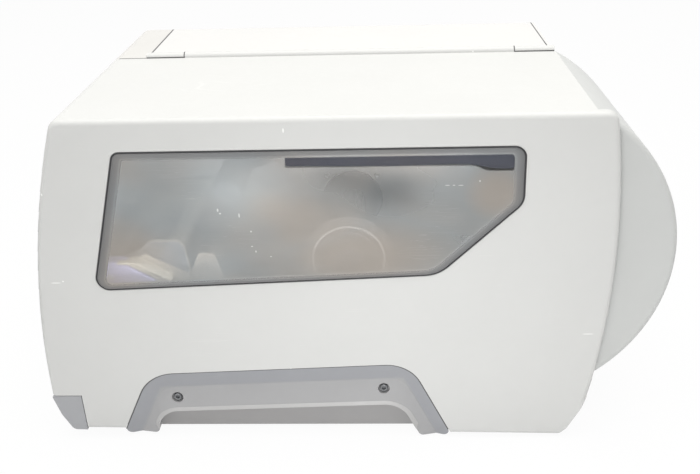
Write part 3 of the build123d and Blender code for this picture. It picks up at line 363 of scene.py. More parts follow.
@dataclass(frozen=True)
class Finish:
    """A plain solid finish: paint, plastic, metal or rubber.

    Depth and size of the relief are in millimetres; drift, dust and scuffs are strengths from 0 to 1.
    """

    colour: Colour
    texture: Texture
    roughness: float
    metallic: float = 0.0
    depth: float = 0.05
    size: float = 0.8
    drift: float = 0.05
    dust: float = 0.10
    scuffs: float = 0.15
    marks: tuple[Footprint, ...] = ()

    def material(self, name: str) -> bpy.types.Material:
        """Builds the material.

        Args:
            name: Name of the material.

        Returns:
            The material, with drift, dust, scuffs and relief from its nodes.
        """
        made, g, shader = new_material(name)
        coords = g.add("ShaderNodeTexCoord").outputs
        self.dress(g, shader, coords["Object"], coords["Normal"])
        return made

    def dress(self, g: Graph, shader: bpy.types.Node, vector: Socket, normal: Socket) -> None:
        """Joins colour, roughness and relief to the shader.

        Args:
            g: Graph of the material.
            shader: Its Principled BSDF.
            vector: Object coordinates in metres.
            normal: The piece's own normal.
        """
        shader.inputs["Metallic"].default_value = self.metallic
        tone = place(g, Effects.drift(), {"Vector": vector, "Colour": rgba(self.colour), "Amount": self.drift})
        dust = place(g, Effects.dust(), {"Vector": vector, "Normal": normal, "Amount": self.dust})["Mask"]
        scuff = place(g, Effects.scuffs(), {"Vector": vector, "Amount": self.scuffs})["Mask"]
        dusty = g.mix(dust, tone["Colour"], rgba(DUST_GREY))
        light = tuple(min(1.0, c * 1.25 + 0.10) for c in self.colour)
        for mark in self.marks:
            scuff = g.most(scuff, spot(g, vector, *mark))
        g.feed(shader.inputs["Base Color"], g.mix(scuff, dusty, rgba(light)))
        rough = g.plus(g.times(g.noise(vector, 220.0, 3.0), 0.14), self.roughness - 0.07)
        g.feed(shader.inputs["Roughness"], g.plus(rough, g.times(dust, 0.5), clamp=True))
        g.feed(shader.inputs["Normal"], self.relief(g, vector, scuff))

    def relief(self, g: Graph, vector: Socket, scuff: Socket) -> Socket:
        """Builds the fine relief that goes with how the surface was made.

        Args:
            g: Graph of the material.
            vector: Object coordinates in metres.
            scuff: Mask of the scratches, which are cut into the relief.

        Returns:
            The bumped normal.
        """
        scale = 1.0 / (self.size * MM)
        if self.texture is Texture.SPARK:
            height = place(g, Effects.grain(), {"Vector": vector, "Scale": scale})["Height"]
        elif self.texture is Texture.PEEL:
            height = g.noise(vector, scale, 1.0, 0.3)
        elif self.texture is Texture.CAST:
            height = g.plus(g.noise(vector, scale, 5.0, 0.7), g.noise(vector, scale / 7, 2.0))
        elif self.texture is Texture.ROLLED:
            height = place(g, Effects.streaks(), {"Vector": vector, "Scale": 0.8 / self.size})["Height"]
        elif self.texture is Texture.GROUND:
            height = g.noise(g.stretch(vector, (scale, scale * 0.4, scale * 0.4)), 1.0, 3.0, 0.7)
        else:
            height = g.noise(vector, 60.0, 1.0)
        cut = g.minus(height, g.times(scuff, 1.5))
        bump = g.add("ShaderNodeBump", {"Height": cut, "Strength": 0.6, "Distance": self.depth * MM})
        return bump.outputs["Normal"]


@dataclass(frozen=True)
class ShadedBandFinish(Finish):
    """Finish of a face that is dished to a crease: outside it a painted shade makes the tone cooler and darker."""

    edges: tuple[tuple[float, float, float, float, float], ...] = ()
    shade: Colour = (0.875, 0.895, 0.935)
    fade: Limits = (0.84, 1.10)

    def dress(self, g: Graph, shader: bpy.types.Node, vector: Socket, normal: Socket) -> None:
        """Dresses the shader, then paints shade onto the band.

        Each edge is a line through (y0, z0) and (y1, z1) with the crease w to its right, all in millimetres. A point
        at the distance d from it lies outside the crease where the least d / w is below one.

        Args:
            g: Graph of the material.
            shader: Its Principled BSDF.
            vector: Object coordinates in metres.
            normal: The piece's own normal.
        """
        super().dress(g, shader, vector, normal)
        shares = []
        for y0, z0, y1, z1, wide in self.edges:
            long = math.hypot(y1 - y0, z1 - z0)
            across = (0.0, (z1 - z0) / long / (wide * MM), -(y1 - y0) / long / (wide * MM))
            start = (across[1] * y0 + across[2] * z0) * MM
            shares.append(g.minus(g.vector_math("DOT_PRODUCT", vector, across)["Value"], start))
        # Painted shade: the band outside the crease is multiplied by the shade colour.
        band = g.minus(1.0, g.ramp(reduce(g.least, shares), *self.fade))
        plain = shader.inputs["Base Color"].links[0].from_socket
        shaded = g.vector_math("MULTIPLY", plain, self.shade)[0]
        g.feed(shader.inputs["Base Color"], g.mix(band, plain, shaded))


@dataclass(frozen=True)
class SmokedPane:
    """Clear plastic under a grey film on its front, with a darker border, fine scratches, cloudy wipes and a painted
    reflection.

    The covers are the film's alpha inside the border and on it. The film is cleared where the dark top strip lies
    behind it, so that the strip's painted shade shows: behind the first y limit and above the z limits, lower by the
    dip past dip_y. These are in millimetres.
    """

    haze: Colour
    border: Colour
    cover: float
    border_cover: float
    marks: tuple[Footprint, ...] = ()
    wipes: tuple[tuple[float, float, float, float, float], ...] = ()
    warm_patches: tuple[Footprint, ...] = ()
    roughness: float = 0.14
    cool: Colour = (0.92, 0.98, 1.02)
    warm: Colour = (1.09, 1.00, 0.92)
    scratch: Colour = (0.80, 0.80, 0.79)
    # Limits of the film cleared over the dark top strip, whose painted shade shows there.
    clear_z: Limits = (242.5, 244.2)
    clear_y: Limits = (-42.5, -40.5)
    dip_y: Limits = (90.0, 103.0)
    dip: float = 4.2
    clearness: float = 0.85

    def material(self, name: str) -> bpy.types.Material:
        """Builds the material.

        The alpha is the film's cover on the front face and nothing on the back.

        Args:
            name: Name of the material.

        Returns:
            The material; it reads the pane's attributes "band" and "haze".
        """
        made, g, shader = new_material(name)
        vector = g.add("ShaderNodeTexCoord").outputs["Object"]
        band = g.add("ShaderNodeAttribute", attribute_name="band").outputs["Fac"]
        front = g.add("ShaderNodeAttribute", attribute_name="haze").outputs["Fac"]
        # Painted reflection: broad noise and warm patches swing the film's tint between cool and warm.
        reflection_tint = g.ramp(g.noise(g.stretch(vector, (1.0, 6.0, 9.0)), 1.3, 2.0, 0.5), 0.36, 0.64)
        for warm_patch in self.warm_patches:
            reflection_tint = g.most(reflection_tint, spot(g, vector, *warm_patch, core=0.2))
        smear = g.noise(g.stretch(vector, (1.0, 9.0, 22.0), (0.4, 0.0, 0.0)), 1.0, 3.0, 0.5)
        cool, warm = (tuple(c * f for c, f in zip(self.haze, cast)) for cast in (self.cool, self.warm))
        scuff = place(g, Effects.scuffs(), {"Vector": vector, "Amount": 0.2})["Mask"]
        for mark in self.marks:
            scuff = g.most(scuff, g.times(spot(g, vector, *mark), 0.6))
        glass = g.mix(scuff, g.mix(reflection_tint, rgba(cool), rgba(warm)), rgba(self.scratch))
        g.feed(shader.inputs["Base Color"], g.mix(band, glass, rgba(self.border)))
        film = g.plus(g.times(g.minus(smear, 0.5), 0.12), self.cover)
        for *wipe, gain in self.wipes:
            film = g.plus(film, g.times(spot(g, vector, *wipe, core=0.0), gain))
        film = g.plus(film, g.times(scuff, 0.55))
        # The film is cleared over the dark top strip so that its painted shade shows through.
        film = g.times(film, g.minus(1.0, self.shade_strip_clearing(g, vector)))
        rim = g.times(band, self.border_cover)
        g.feed(shader.inputs["Alpha"], g.times(g.most(film, rim), front, clamp=True))
        shader.inputs["Roughness"].default_value = self.roughness
        g.feed(shader.inputs["Specular IOR Level"], g.minus(0.5, g.times(band, 0.38)))
        waves = g.noise(vector, 24.0, 2.0)
        bump = g.add("ShaderNodeBump", {"Height": waves, "Strength": 0.12, "Distance": 0.15 * MM})
        g.feed(shader.inputs["Normal"], bump.outputs["Normal"])
        return made

    def shade_strip_clearing(self, g: Graph, vector: Socket) -> Socket:
        """Marks where the dark top strip, a painted shade, lies behind the pane and clears the film there.

        Args:
            g: Graph of the material.
            vector: Object coordinates in metres.

        Returns:
            The mask: soft at the strip's front and lower edges, and lower at its rear by the dip.
        """
        parts = g.add("ShaderNodeSeparateXYZ", {0: vector}).outputs
        dip = g.times(g.ramp_mm(parts["Y"], self.dip_y), self.dip * MM)
        front = g.times(g.ramp_mm(parts["Y"], self.clear_y), self.clearness)
        return g.times(g.ramp_mm(g.plus(parts["Z"], dip), self.clear_z), front)


@dataclass(frozen=True)
class DisplayGlass:
    """Black glass of the display, lit from behind in one field with plain bars and blocks."""

    glass: Colour
    field: Colour
    bars: Colour
    glow: float
    field_x: Limits = (-114.5, -53.5)
    field_z: Limits = (194.5, 236.5)
    heading_z: Limits = (229.0, 236.5)
    rows_x: Limits = (-111.0, -75.0)
    rows_z: Limits = (197.5, 225.0)
    row_start: float = 197.0
    row_pitch: float = 7.0
    row_edge: Limits = (1.8, 2.2)
    block_x: Limits = (-71.0, -57.0)
    block_z: Limits = (198.0, 224.0)
    edge: float = 0.2

    def material(self, name: str) -> bpy.types.Material:
        """Builds the material.

        Args:
            name: Name of the material.

        Returns:
            The material: gloss black, with a lit field that holds a heading, rows of bars and a block.
        """
        made, g, shader = new_material(name)
        vector = g.add("ShaderNodeTexCoord").outputs["Object"]
        parts = g.add("ShaderNodeSeparateXYZ", {0: vector}).outputs
        field = self.box(g, parts, self.field_x, self.field_z)
        head = self.box(g, parts, self.field_x, self.heading_z)
        row = g.math("PINGPONG", g.minus(parts["Z"], self.row_start * MM), self.row_pitch / 2 * MM)
        lines = g.times(g.ramp_mm(row, self.row_edge), self.box(g, parts, self.rows_x, self.rows_z))
        block_mask = self.box(g, parts, self.block_x, self.block_z)
        dots = g.add("ShaderNodeTexChecker", {"Vector": vector, "Scale": 900.0}).outputs["Fac"]
        shade = g.mix(lines, g.mix(head, rgba(self.field), rgba(self.bars)), rgba(self.bars))
        shade = g.mix(g.times(block_mask, 0.55), shade, rgba(self.bars))
        shade = g.mix(g.times(dots, 0.12), shade, rgba(self.glass))
        g.feed(shader.inputs["Emission Color"], g.mix(field, rgba((0.0, 0.0, 0.0)), shade))
        shader.inputs["Emission Strength"].default_value = self.glow
        scuff = place(g, Effects.scuffs(), {"Vector": vector, "Amount": 0.15})["Mask"]
        g.feed(shader.inputs["Base Color"], g.mix(scuff, rgba(self.glass), rgba((0.2, 0.2, 0.2))))
        g.feed(shader.inputs["Roughness"], g.plus(g.times(g.noise(vector, 90.0, 3.0), 0.10), 0.07))
        shader.inputs["Coat Weight"].default_value = 0.6
        shader.inputs["Coat Roughness"].default_value = 0.06
        return made

    def box(self, g: Graph, parts: bpy.types.NodeOutputs, across: Limits, up: Limits) -> Socket:
        """Marks an oblong on the display.

        Args:
            g: Graph of the material.
            parts: X, Y and Z of the object coordinates, in metres.
            across: Its two limits in x, in millimetres.
            up: Its two limits in z, in millimetres.

        Returns:
            The mask: the product of one soft step for each side.
        """
        steps = []
        for axis, (low, high) in (("X", across), ("Z", up)):
            steps.append(g.ramp_mm(parts[axis], (low - self.edge, low)))
            steps.append(g.minus(1.0, g.ramp_mm(parts[axis], (high, high + self.edge))))
        return reduce(g.times, steps)


@dataclass(frozen=True)
class SolderMask:
    """Green board lacquer over copper tracks, with bright pads."""

    mask: Colour
    copper: Colour

    def material(self, name: str) -> bpy.types.Material:
        """Builds the material from broad tracks in courses and small pads on a jittered grid.

        Args:
            name: Name of the material.

        Returns:
            The material, whose pads are bare copper.
        """
        made, g, shader = new_material(name)
        vector = g.add("ShaderNodeTexCoord").outputs["Object"]
        bricks = {"Vector": g.stretch(vector, (1.0, 1.0, 1.0), (0.0, math.pi / 2, 0.0)), "Scale": 60.0,
                  "Mortar Size": 0.035, "Bias": -0.2, "Brick Width": 0.7, "Row Height": 0.22,
                  "Color1": rgba(self.mask), "Color2": rgba(tuple(c * 0.8 for c in self.mask)),
                  "Mortar": rgba(tuple(c * 1.7 for c in self.mask))}
        tracks = g.add("ShaderNodeTexBrick", bricks).outputs["Color"]
        cells = g.add("ShaderNodeTexVoronoi", {"Vector": vector, "Scale": 260.0, "Randomness": 0.35})
        pads = g.minus(1.0, g.ramp(cells.outputs["Distance"], 0.14, 0.18))
        rows = g.times(pads, g.ramp(g.noise(vector, 40.0, 1.0), 0.5, 0.55))
        g.feed(shader.inputs["Base Color"], g.mix(rows, tracks, rgba(self.copper)))
        g.feed(shader.inputs["Metallic"], rows)
        shader.inputs["Roughness"].default_value = 0.32
        return made


# Marks as y, z, half length and half height in millimetres; a wipe also has the cover that it adds or takes away.
DOOR_MARKS = ((-41.3, 270.6, 0.7, 2.20), (-223.0, 150.6, 5.0, 0.50), (-217.3, 151.9, 0.8, 0.90),
              (-47.3, 69.6, 0.7, 1.60), (184.7, 101.4, 5.5, 0.45), (-220.1, 224.1, 0.8, 1.30),
              (105.6, 280.9, 0.7, 0.80))
PANE_MARKS = ((73.2, 228.4, 2.2, 0.40), (77.8, 228.4, 1.2, 0.45), (82.7, 228.3, 2.4, 0.40), (96.0, 231.4, 0.7, 0.9),
              (-92.5, 211.0, 0.8, 1.7), (-91.0, 208.3, 1.0, 0.8), (-77.2, 206.6, 0.7, 2.2), (-69.5, 193.5, 0.8, 0.9),
              (-69.7, 181.2, 1.0, 0.6), (-67.1, 176.9, 0.6, 1.1), (-56.2, 172.6, 0.9, 0.5))
PANE_WIPES = ((-78.0, 226.0, 62.0, 46.0, 0.14), (-96.0, 168.0, 30.0, 30.0, 0.04), (-150.0, 215.0, 50.0, 50.0, 0.04),
              (31.0, 226.0, 42.0, 26.0, -0.14), (-4.0, 236.0, 30.0, 16.0, -0.07), (-40.0, 185.0, 80.0, 40.0, 0.04))
# Warm patches of the pane's painted reflection, as y, z, half length and half height.
PANE_WARM_PATCHES = ((12.0, 172.0, 95.0, 42.0), (108.0, 222.0, 30.0, 30.0))
# Edges of the arch skirt as y and z of both ends, and the distance of the crease; the band between them gets a
# painted shade.
ARCH_SHADE_EDGES = ((-192.7, 2.0, -163.2, 64.5, 13.3), (-163.2, 64.5, 47.1, 73.6, 16.0), (47.1, 73.6, 82.5, 2.0, 11.5))
# CAD nodes whose look differs from their slot.
LOOKS = {"arch_skirt_right": "skirt_plastic", "arch_skirt_left": "skirt_plastic",
         "door_rear_bulge": "bulge_plastic_shaded", "print_bed": "bed_paint",
         "head_carrier": "carrier_cream", "head_heat_sink": "sink_anodised"}
FINISHES: dict[str, Finish | SmokedPane | DisplayGlass | SolderMask] = {
    "door_plastic": Finish((0.580, 0.584, 0.574), Texture.SPARK, 0.52, depth=0.035, size=0.7, drift=0.022, dust=0.05,
                           marks=DOOR_MARKS),
    # Door plastic made darker for the rear bulge: a painted shade for the step behind the door's edge.
    "bulge_plastic_shaded": Finish((0.530, 0.540, 0.532), Texture.SPARK, 0.52, depth=0.035, size=0.7, drift=0.022,
                            dust=0.05),
    "cover_paint": Finish((0.620, 0.618, 0.609), Texture.PEEL, 0.48, depth=0.03, size=1.4, drift=0.02, dust=0.05),
    "bezel_plastic": Finish((0.575, 0.568, 0.550), Texture.SPARK, 0.50, depth=0.04, size=0.7, drift=0.03, dust=0.06),
    "trim_plastic": Finish((0.350, 0.356, 0.372), Texture.SPARK, 0.46, depth=0.05, size=0.8, drift=0.05, scuffs=0.3),
    # Skirt plastic with a painted shade on its outer band.
    "skirt_plastic": ShadedBandFinish((0.340, 0.340, 0.346), Texture.SPARK, 0.46, depth=0.05, size=0.8, drift=0.05,
                                  scuffs=0.3, edges=ARCH_SHADE_EDGES),
    # The pane's pale film is partly dust and partly a painted reflection of the room; its tint drifts as a painted
    # reflection.
    "smoked_window": SmokedPane(haze=(0.84, 0.84, 0.825), border=(0.150, 0.152, 0.156), cover=0.31, border_cover=0.90,
                                marks=PANE_MARKS, wipes=PANE_WIPES, warm_patches=PANE_WARM_PATCHES),
    # Navy of the dark strip under the top of the window: a painted shade.
    "shade_strip_navy": Finish((0.030, 0.033, 0.054), Texture.GROUND, 0.85, depth=0.06, size=0.5, drift=0.12, dust=0.02),
    "black_plastic": Finish((0.030, 0.030, 0.033), Texture.SPARK, 0.42, depth=0.04, size=0.7, dust=0.04),
    "zinc_steel": Finish((0.62, 0.63, 0.64), Texture.ROLLED, 0.34, metallic=1.0, depth=0.02, drift=0.08, dust=0.06),
    "grey_screws": Finish((0.21, 0.215, 0.225), Texture.SMOOTH, 0.36, metallic=0.6, depth=0.02, dust=0.02),
    "pan_paint": Finish((0.33, 0.325, 0.325), Texture.PEEL, 0.52, depth=0.03, size=1.2, drift=0.04, dust=0.06),
    "cast_aluminium": Finish((0.56, 0.57, 0.58), Texture.CAST, 0.50, metallic=0.85, depth=0.12, size=1.1, drift=0.06),
    "deck_plastic": Finish((0.22, 0.23, 0.25), Texture.SPARK, 0.50, depth=0.05, size=0.9, dust=0.12),
    "bed_paint": Finish((0.60, 0.565, 0.50), Texture.PEEL, 0.50, depth=0.03, size=1.2, drift=0.05),
    "carrier_cream": Finish((0.56, 0.55, 0.50), Texture.SPARK, 0.46, depth=0.03, size=0.7, drift=0.04),
    "sink_anodised": Finish((0.20, 0.205, 0.215), Texture.ROLLED, 0.42, metallic=0.7, depth=0.01, drift=0.05),
    # Skirt plastic made lighter for the arch lips: a painted highlight on their rounded edge.
    "lip_plastic_highlight": Finish((0.40, 0.397, 0.397), Texture.SPARK, 0.44, depth=0.04, size=0.8, drift=0.04, scuffs=0.3),
    "shield_grey": Finish((0.215, 0.230, 0.260), Texture.PEEL, 0.50, depth=0.02, size=1.0, drift=0.06),
    "shield_dark": Finish((0.165, 0.170, 0.172), Texture.PEEL, 0.50, depth=0.02, size=1.0, drift=0.06),
    "bracket_cream": Finish((0.52, 0.46, 0.39), Texture.SPARK, 0.48, depth=0.03, size=0.7, drift=0.04),
    # Also the colour of the dark strips that paint shade into joints, crevices and round the skirts.
    "seal_rubber": Finish((0.105, 0.105, 0.107), Texture.GROUND, 0.70, depth=0.04, size=0.4, dust=0.05),
    "cream_plastic": Finish((0.88, 0.83, 0.70), Texture.SPARK, 0.42, depth=0.03, size=0.7, drift=0.04),
    "touch_lilac": Finish((0.61, 0.61, 0.96), Texture.SPARK, 0.38, depth=0.02, size=0.6, drift=0.03),
    "spot_white": Finish((0.95, 0.95, 0.95), Texture.PEEL, 0.35, depth=0.01, size=0.5, drift=0.02, scuffs=0.05),
    "platen_rubber": Finish((0.045, 0.045, 0.050), Texture.GROUND, 0.72, depth=0.05, size=0.4, dust=0.10),
    "foot_rubber": Finish((0.030, 0.030, 0.030), Texture.GROUND, 0.80, depth=0.10, size=0.9, dust=0.10),
    "belt_rubber": Finish((0.028, 0.028, 0.030), Texture.GROUND, 0.66, depth=0.08, size=0.5),
    "bearing_brass": Finish((0.62, 0.45, 0.20), Texture.CAST, 0.38, metallic=1.0, depth=0.03, size=0.4),
    "spindle_plastic": Finish((0.085, 0.088, 0.098), Texture.SPARK, 0.40, depth=0.04, size=0.7),
    # Pale ring on the reel's flange: a painted highlight.
    "ring_highlight_plastic": Finish((0.60, 0.57, 0.54), Texture.SPARK, 0.34, depth=0.02, size=0.6, drift=0.05),
    "flange_plastic": Finish((0.20, 0.185, 0.17), Texture.SPARK, 0.34, depth=0.02, size=0.6, drift=0.05),
    "contact_gold": Finish((0.86, 0.62, 0.26), Texture.ROLLED, 0.24, metallic=1.0, depth=0.005, drift=0.04),
    "header_white": Finish((0.74, 0.72, 0.66), Texture.SPARK, 0.44, depth=0.03, size=0.5, drift=0.04),
    "pulley_aluminium": Finish((0.70, 0.71, 0.72), Texture.ROLLED, 0.28, metallic=1.0, depth=0.01, drift=0.04),
    "motor_black": Finish((0.040, 0.040, 0.045), Texture.PEEL, 0.40, depth=0.03, size=1.0),
    "lens_gloss": DisplayGlass(glass=(0.012, 0.014, 0.018), field=(0.10, 0.24, 0.42), bars=(0.62, 0.78, 0.90),
                               glow=0.55),
    "display_panel": Finish((0.06, 0.10, 0.16), Texture.SMOOTH, 0.25, depth=0.01, scuffs=0.0),
    "lamp_diffuser": Finish((0.70, 0.80, 0.74), Texture.PEEL, 0.38, depth=0.02, size=0.8, scuffs=0.05),
    "button_grey": Finish((0.16, 0.165, 0.18), Texture.SPARK, 0.55, depth=0.03, size=0.5),
    "button_blue": Finish((0.07, 0.21, 0.42), Texture.SPARK, 0.55, depth=0.03, size=0.5),
    "circuit_board": SolderMask(mask=(0.025, 0.16, 0.06), copper=(0.75, 0.55, 0.30)),
    "socket_metal": Finish((0.72, 0.72, 0.74), Texture.ROLLED, 0.22, metallic=1.0, depth=0.005, drift=0.04),
}


@cache
def finish(name: str) -> bpy.types.Material:
    """Material of a finish, made the first time that it is asked for."""
    return FINISHES[name].material(name)


def dress_nodes() -> None:
    """Gives every CAD node the finish of its material slot."""
    slots = {row["node"]: row["material_slot"] for row in frame["record"]["subparts"]}
    slots.update(LOOKS)
    for node, obj in frame["nodes"].items():
        for material_slot in obj.material_slots:
            material_slot.link = "OBJECT"
            material_slot.material = finish(slots[node])
    LOG.info("dressed %d nodes in %d finishes", len(frame["nodes"]), finish.cache_info().currsize)


# Surfaces


Shell = tuple[np.ndarray, np.ndarray, np.ndarray]


def skin(rings: np.ndarray, tube: bool = False) -> Shell:
    """Joins rings of points by quads.

    Args:
        rings: Points in millimetres, ring by ring, each ring closed on itself.
        tube: Whether the last ring joins the first, as round a wreath; if not, a flat face closes each end.

    Returns:
        The points as one list, the four-sided faces, and the end faces with one row each.
    """
    rows, cols = rings.shape[:2]
    index = np.arange(rows * cols).reshape(rows, cols)
    low, high = (index, np.roll(index, -1, axis=0)) if tube else (index[:-1], index[1:])
    quads = np.stack([low, np.roll(low, -1, axis=1), np.roll(high, -1, axis=1), high], axis=-1)
    ends = index[:0] if tube else index[[0, -1]]
    return rings.reshape(-1, 3), quads.reshape(-1, 4), ends


def inset(corners: np.ndarray, depths: np.ndarray) -> np.ndarray:
    """Moves each side of a polygon inwards and meets neighbouring sides again.

    The moved side i keeps its direction d and runs through corner i plus depth times its inward normal; two such
    lines cross where the cross products of their directions and offsets say.

    Args:
        corners: Clockwise corners, seen with the first axis to the right.
        depths: How far the side that starts at each corner moves, in millimetres.

    Returns:
        The new corners.
    """
    ahead = np.roll(corners, -1, axis=0) - corners
    ahead /= np.linalg.norm(ahead, axis=1, keepdims=True)
    inward = np.stack([ahead[:, 1], -ahead[:, 0]], axis=1)
    start = corners + inward * np.asarray(depths, float)[:, None]
    behind, before = np.roll(ahead, 1, axis=0), np.roll(start, 1, axis=0)
    gap = start - before
    cross = behind[:, 0] * ahead[:, 1] - behind[:, 1] * ahead[:, 0]
    reach = (gap[:, 0] * ahead[:, 1] - gap[:, 1] * ahead[:, 0]) / cross
    return before + behind * reach[:, None]


def rounded(corners: np.ndarray, radii: np.ndarray, steps: int = 14, runs: int = 10) -> np.ndarray:
    """Rounds a polygon's corners and spaces points along its sides.

    Each corner becomes an arc between its two tangent points, r times the tangent of half the turning angle away
    from it; the arc is blended by angle between its two end normals.

    Args:
        corners: Corners in order, shape (k, 2).
        radii: Radius at each corner.
        steps: Points on each arc.
        runs: Points on each straight side between two arcs.

    Returns:
        The outline as one closed ring of points, always with the same count for the same k.
    """
    radii = np.asarray(radii, float)
    ahead = np.roll(corners, -1, axis=0) - corners
    ahead /= np.linalg.norm(ahead, axis=1, keepdims=True)
    behind = np.roll(ahead, 1, axis=0)
    turn = np.arctan2(behind[:, 0] * ahead[:, 1] - behind[:, 1] * ahead[:, 0], (behind * ahead).sum(axis=1))
    cut = radii * np.tan(np.abs(turn) / 2)
    side = np.sign(turn)[:, None] * np.stack([-behind[:, 1], behind[:, 0]], axis=1)
    centre = corners - behind * cut[:, None] + side * radii[:, None]
    angle = np.linspace(0.0, 1.0, steps)[None, :] * turn[:, None]
    spoke = -side
    arcs = np.stack([spoke[:, None, 0] * np.cos(angle) - spoke[:, None, 1] * np.sin(angle),
                     spoke[:, None, 0] * np.sin(angle) + spoke[:, None, 1] * np.cos(angle)], axis=-1)
    arcs = centre[:, None, :] + arcs * radii[:, None, None]
    share = np.linspace(0.0, 1.0, runs + 2)[None, 1:-1, None]
    sides = arcs[:, -1:, :] * (1 - share) + np.roll(arcs, -1, axis=0)[:, :1, :] * share
    return np.concatenate([arcs, sides], axis=1).reshape(-1, 2)


def on_x(ring: np.ndarray, x: float | np.ndarray) -> np.ndarray:
    """Stands a flat (y, z) ring up at an x."""
    return np.concatenate([np.broadcast_to(np.asarray(x, float), ring.shape[:-1])[..., None], ring], axis=-1)


def turned(profile: Points, centre: Sequence[float], along: Sequence[float], steps: int = 40,
           lobes: Sequence[float] = (), wreath: bool = False) -> Shell:
    """Turns a profile about an axis.

    A point of the profile at radius r and height h goes to centre + h times the axis + r (1 + lobe cos 6a) times
    the direction at angle a. The lobe is zero except where a six-lobed recess is cut.

    Args:
        profile: Radius and height of each ring, in order.
        centre: Where height is zero.
        along: Direction of the axis.
        steps: Points round each ring.
        lobes: Depth of the six lobes at each ring, as a share of its radius.
        wreath: Whether the last ring joins the first round a hole.

    Returns:
        The shell.
    """
    axis = np.asarray(along, float) / np.linalg.norm(along)
    u = np.cross(axis, (0.0, 1.0, 0.0) if abs(axis[1]) < 0.9 else (1.0, 0.0, 0.0))
    u /= np.linalg.norm(u)
    v = np.cross(axis, u)
    data = np.asarray(profile, float)
    angle = np.linspace(0.0, 2 * np.pi, steps, endpoint=False)
    lobe = np.asarray(lobes, float) if len(lobes) else np.zeros(len(data))
    radius = data[:, :1] * (1.0 + lobe[:, None] * np.cos(6 * angle)[None, :])
    spokes = np.cos(angle)[:, None] * u + np.sin(angle)[:, None] * v
    rings = np.asarray(centre, float) + data[:, 1, None, None] * axis + radius[..., None] * spokes
    return skin(rings, tube=wreath)


def block(low: Sequence[float], high: Sequence[float], edge: float) -> Shell:
    """Makes an oblong with chamfered edges: rings in (y, z) along x that step in by the edge at both ends.

    Args:
        low: Its corner with the least x, y and z.
        high: Its corner with the greatest x, y and z.
        edge: Size of the chamfers.

    Returns:
        The shell.
    """
    corners = np.array([(low[1], low[2]), (low[1], high[2]), (high[1], high[2]), (high[1], low[2])], float)
    small = inset(corners, np.full(4, edge))
    steps = ((small, low[0]), (corners, low[0] + edge), (corners, high[0] - edge), (small, high[0]))
    return skin(np.stack([on_x(ring, x) for ring, x in steps]))


def prism(corners: Points, radii: Sequence[float], low: float, high: float, edge: float) -> Shell:
    """Carries a rounded (y, z) outline along x; its outer edge steps in as a quarter circle.

    Args:
        corners: Corners of the outline, clockwise.
        radii: Radius at each corner.
        low: The x of the inner face.
        high: The x of the outer face.
        edge: Radius of the quarter circle.

    Returns:
        The shell.
    """
    shape, count = np.array(corners), len(corners)
    turn = np.linspace(0.0, np.pi / 2, 6)
    rows = [(0.0, low)] + [(edge * (1 - np.cos(a)), high - edge + edge * np.sin(a)) for a in turn]
    rings = [on_x(rounded(inset(shape, np.full(count, d)), np.maximum(np.array(radii) - d, 0.3)), x)
             for d, x in rows]
    return skin(np.stack(rings))


def coil(centre: Sequence[float], radius: float, wire: float, pitch: float, turns: float) -> Shell:
    """Coil spring that lies along x.

    The wire's middle runs at angle a through (pitch a / 2 pi, R cos a, R sin a) and carries a circle of its radius,
    spread between the outward direction and x.

    Args:
        centre: Middle of the end with the lower x.
        radius: Radius R to the middle of the wire.
        wire: Radius of the wire.
        pitch: Rise per turn.
        turns: Number of turns.

    Returns:
        The shell, closed at both ends.
    """
    angle = np.linspace(0.0, 2 * np.pi * turns, int(turns * 22))
    out = np.stack([np.zeros_like(angle), np.cos(angle), np.sin(angle)], axis=1)
    middle = np.asarray(centre, float) + out * radius
    middle[:, 0] += pitch * angle / (2 * np.pi)
    lift = np.array([1.0, 0.0, 0.0])
    round_angle = np.linspace(0.0, 2 * np.pi, 9, endpoint=False)
    rings = middle[:, None] + wire * (np.cos(round_angle)[None, :, None] * out[:, None]
                                      + np.sin(round_angle)[None, :, None] * lift)
    return skin(rings)


class Piece:
    """One mesh object put together from closed shells."""

    def __init__(self, name: str) -> None:
        """Starts an empty piece.

        Args:
            name: Name of the object that it becomes.
        """
        self.name = name
        self.points: list[np.ndarray] = []
        self.faces: list[list[int]] = []

    def add(self, *shells: Shell) -> "Piece":
        """Adds shells.

        Args:
            *shells: The closed shells.

        Returns:
            The piece itself.
        """
        for points, quads, ends in shells:
            start = sum(len(part) for part in self.points)
            self.points.append(points)
            self.faces += (quads + start).tolist() + (ends + start).tolist()
        return self

    def build(self, body: str, look: str, stands_for: Sequence[str] = (), crease: float = 32.0) -> bpy.types.Object:
        """Makes the object, turns its faces outwards and says what it rides on.

        Args:
            body: CAD body that it moves with.
            look: Its finish.
            stands_for: CAD nodes that it replaces.
            crease: Edges sharper than this many degrees stay sharp.

        Returns:
            The object.
        """
        mesh = bpy.data.meshes.new(self.name)
        mesh.from_pydata((np.concatenate(self.points) * MM).tolist(), [], self.faces)
        shape = bmesh.new()
        shape.from_mesh(mesh)
        bmesh.ops.recalc_face_normals(shape, faces=shape.faces)
        shape.to_mesh(mesh)
        shape.free()
        mesh.polygons.foreach_set("use_smooth", np.ones(len(mesh.polygons), bool))
        mesh.set_sharp_from_angle(angle=math.radians(crease))
        piece = bpy.data.objects.new(self.name, mesh)
        bpy.context.scene.collection.objects.link(piece)
        mesh.materials.append(finish(look))
        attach(piece, body)
        if stands_for:
            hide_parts(*stands_for)
        LOG.info("%s: %d faces on %s", self.name, len(mesh.polygons), body)
        return piece


# Pieces


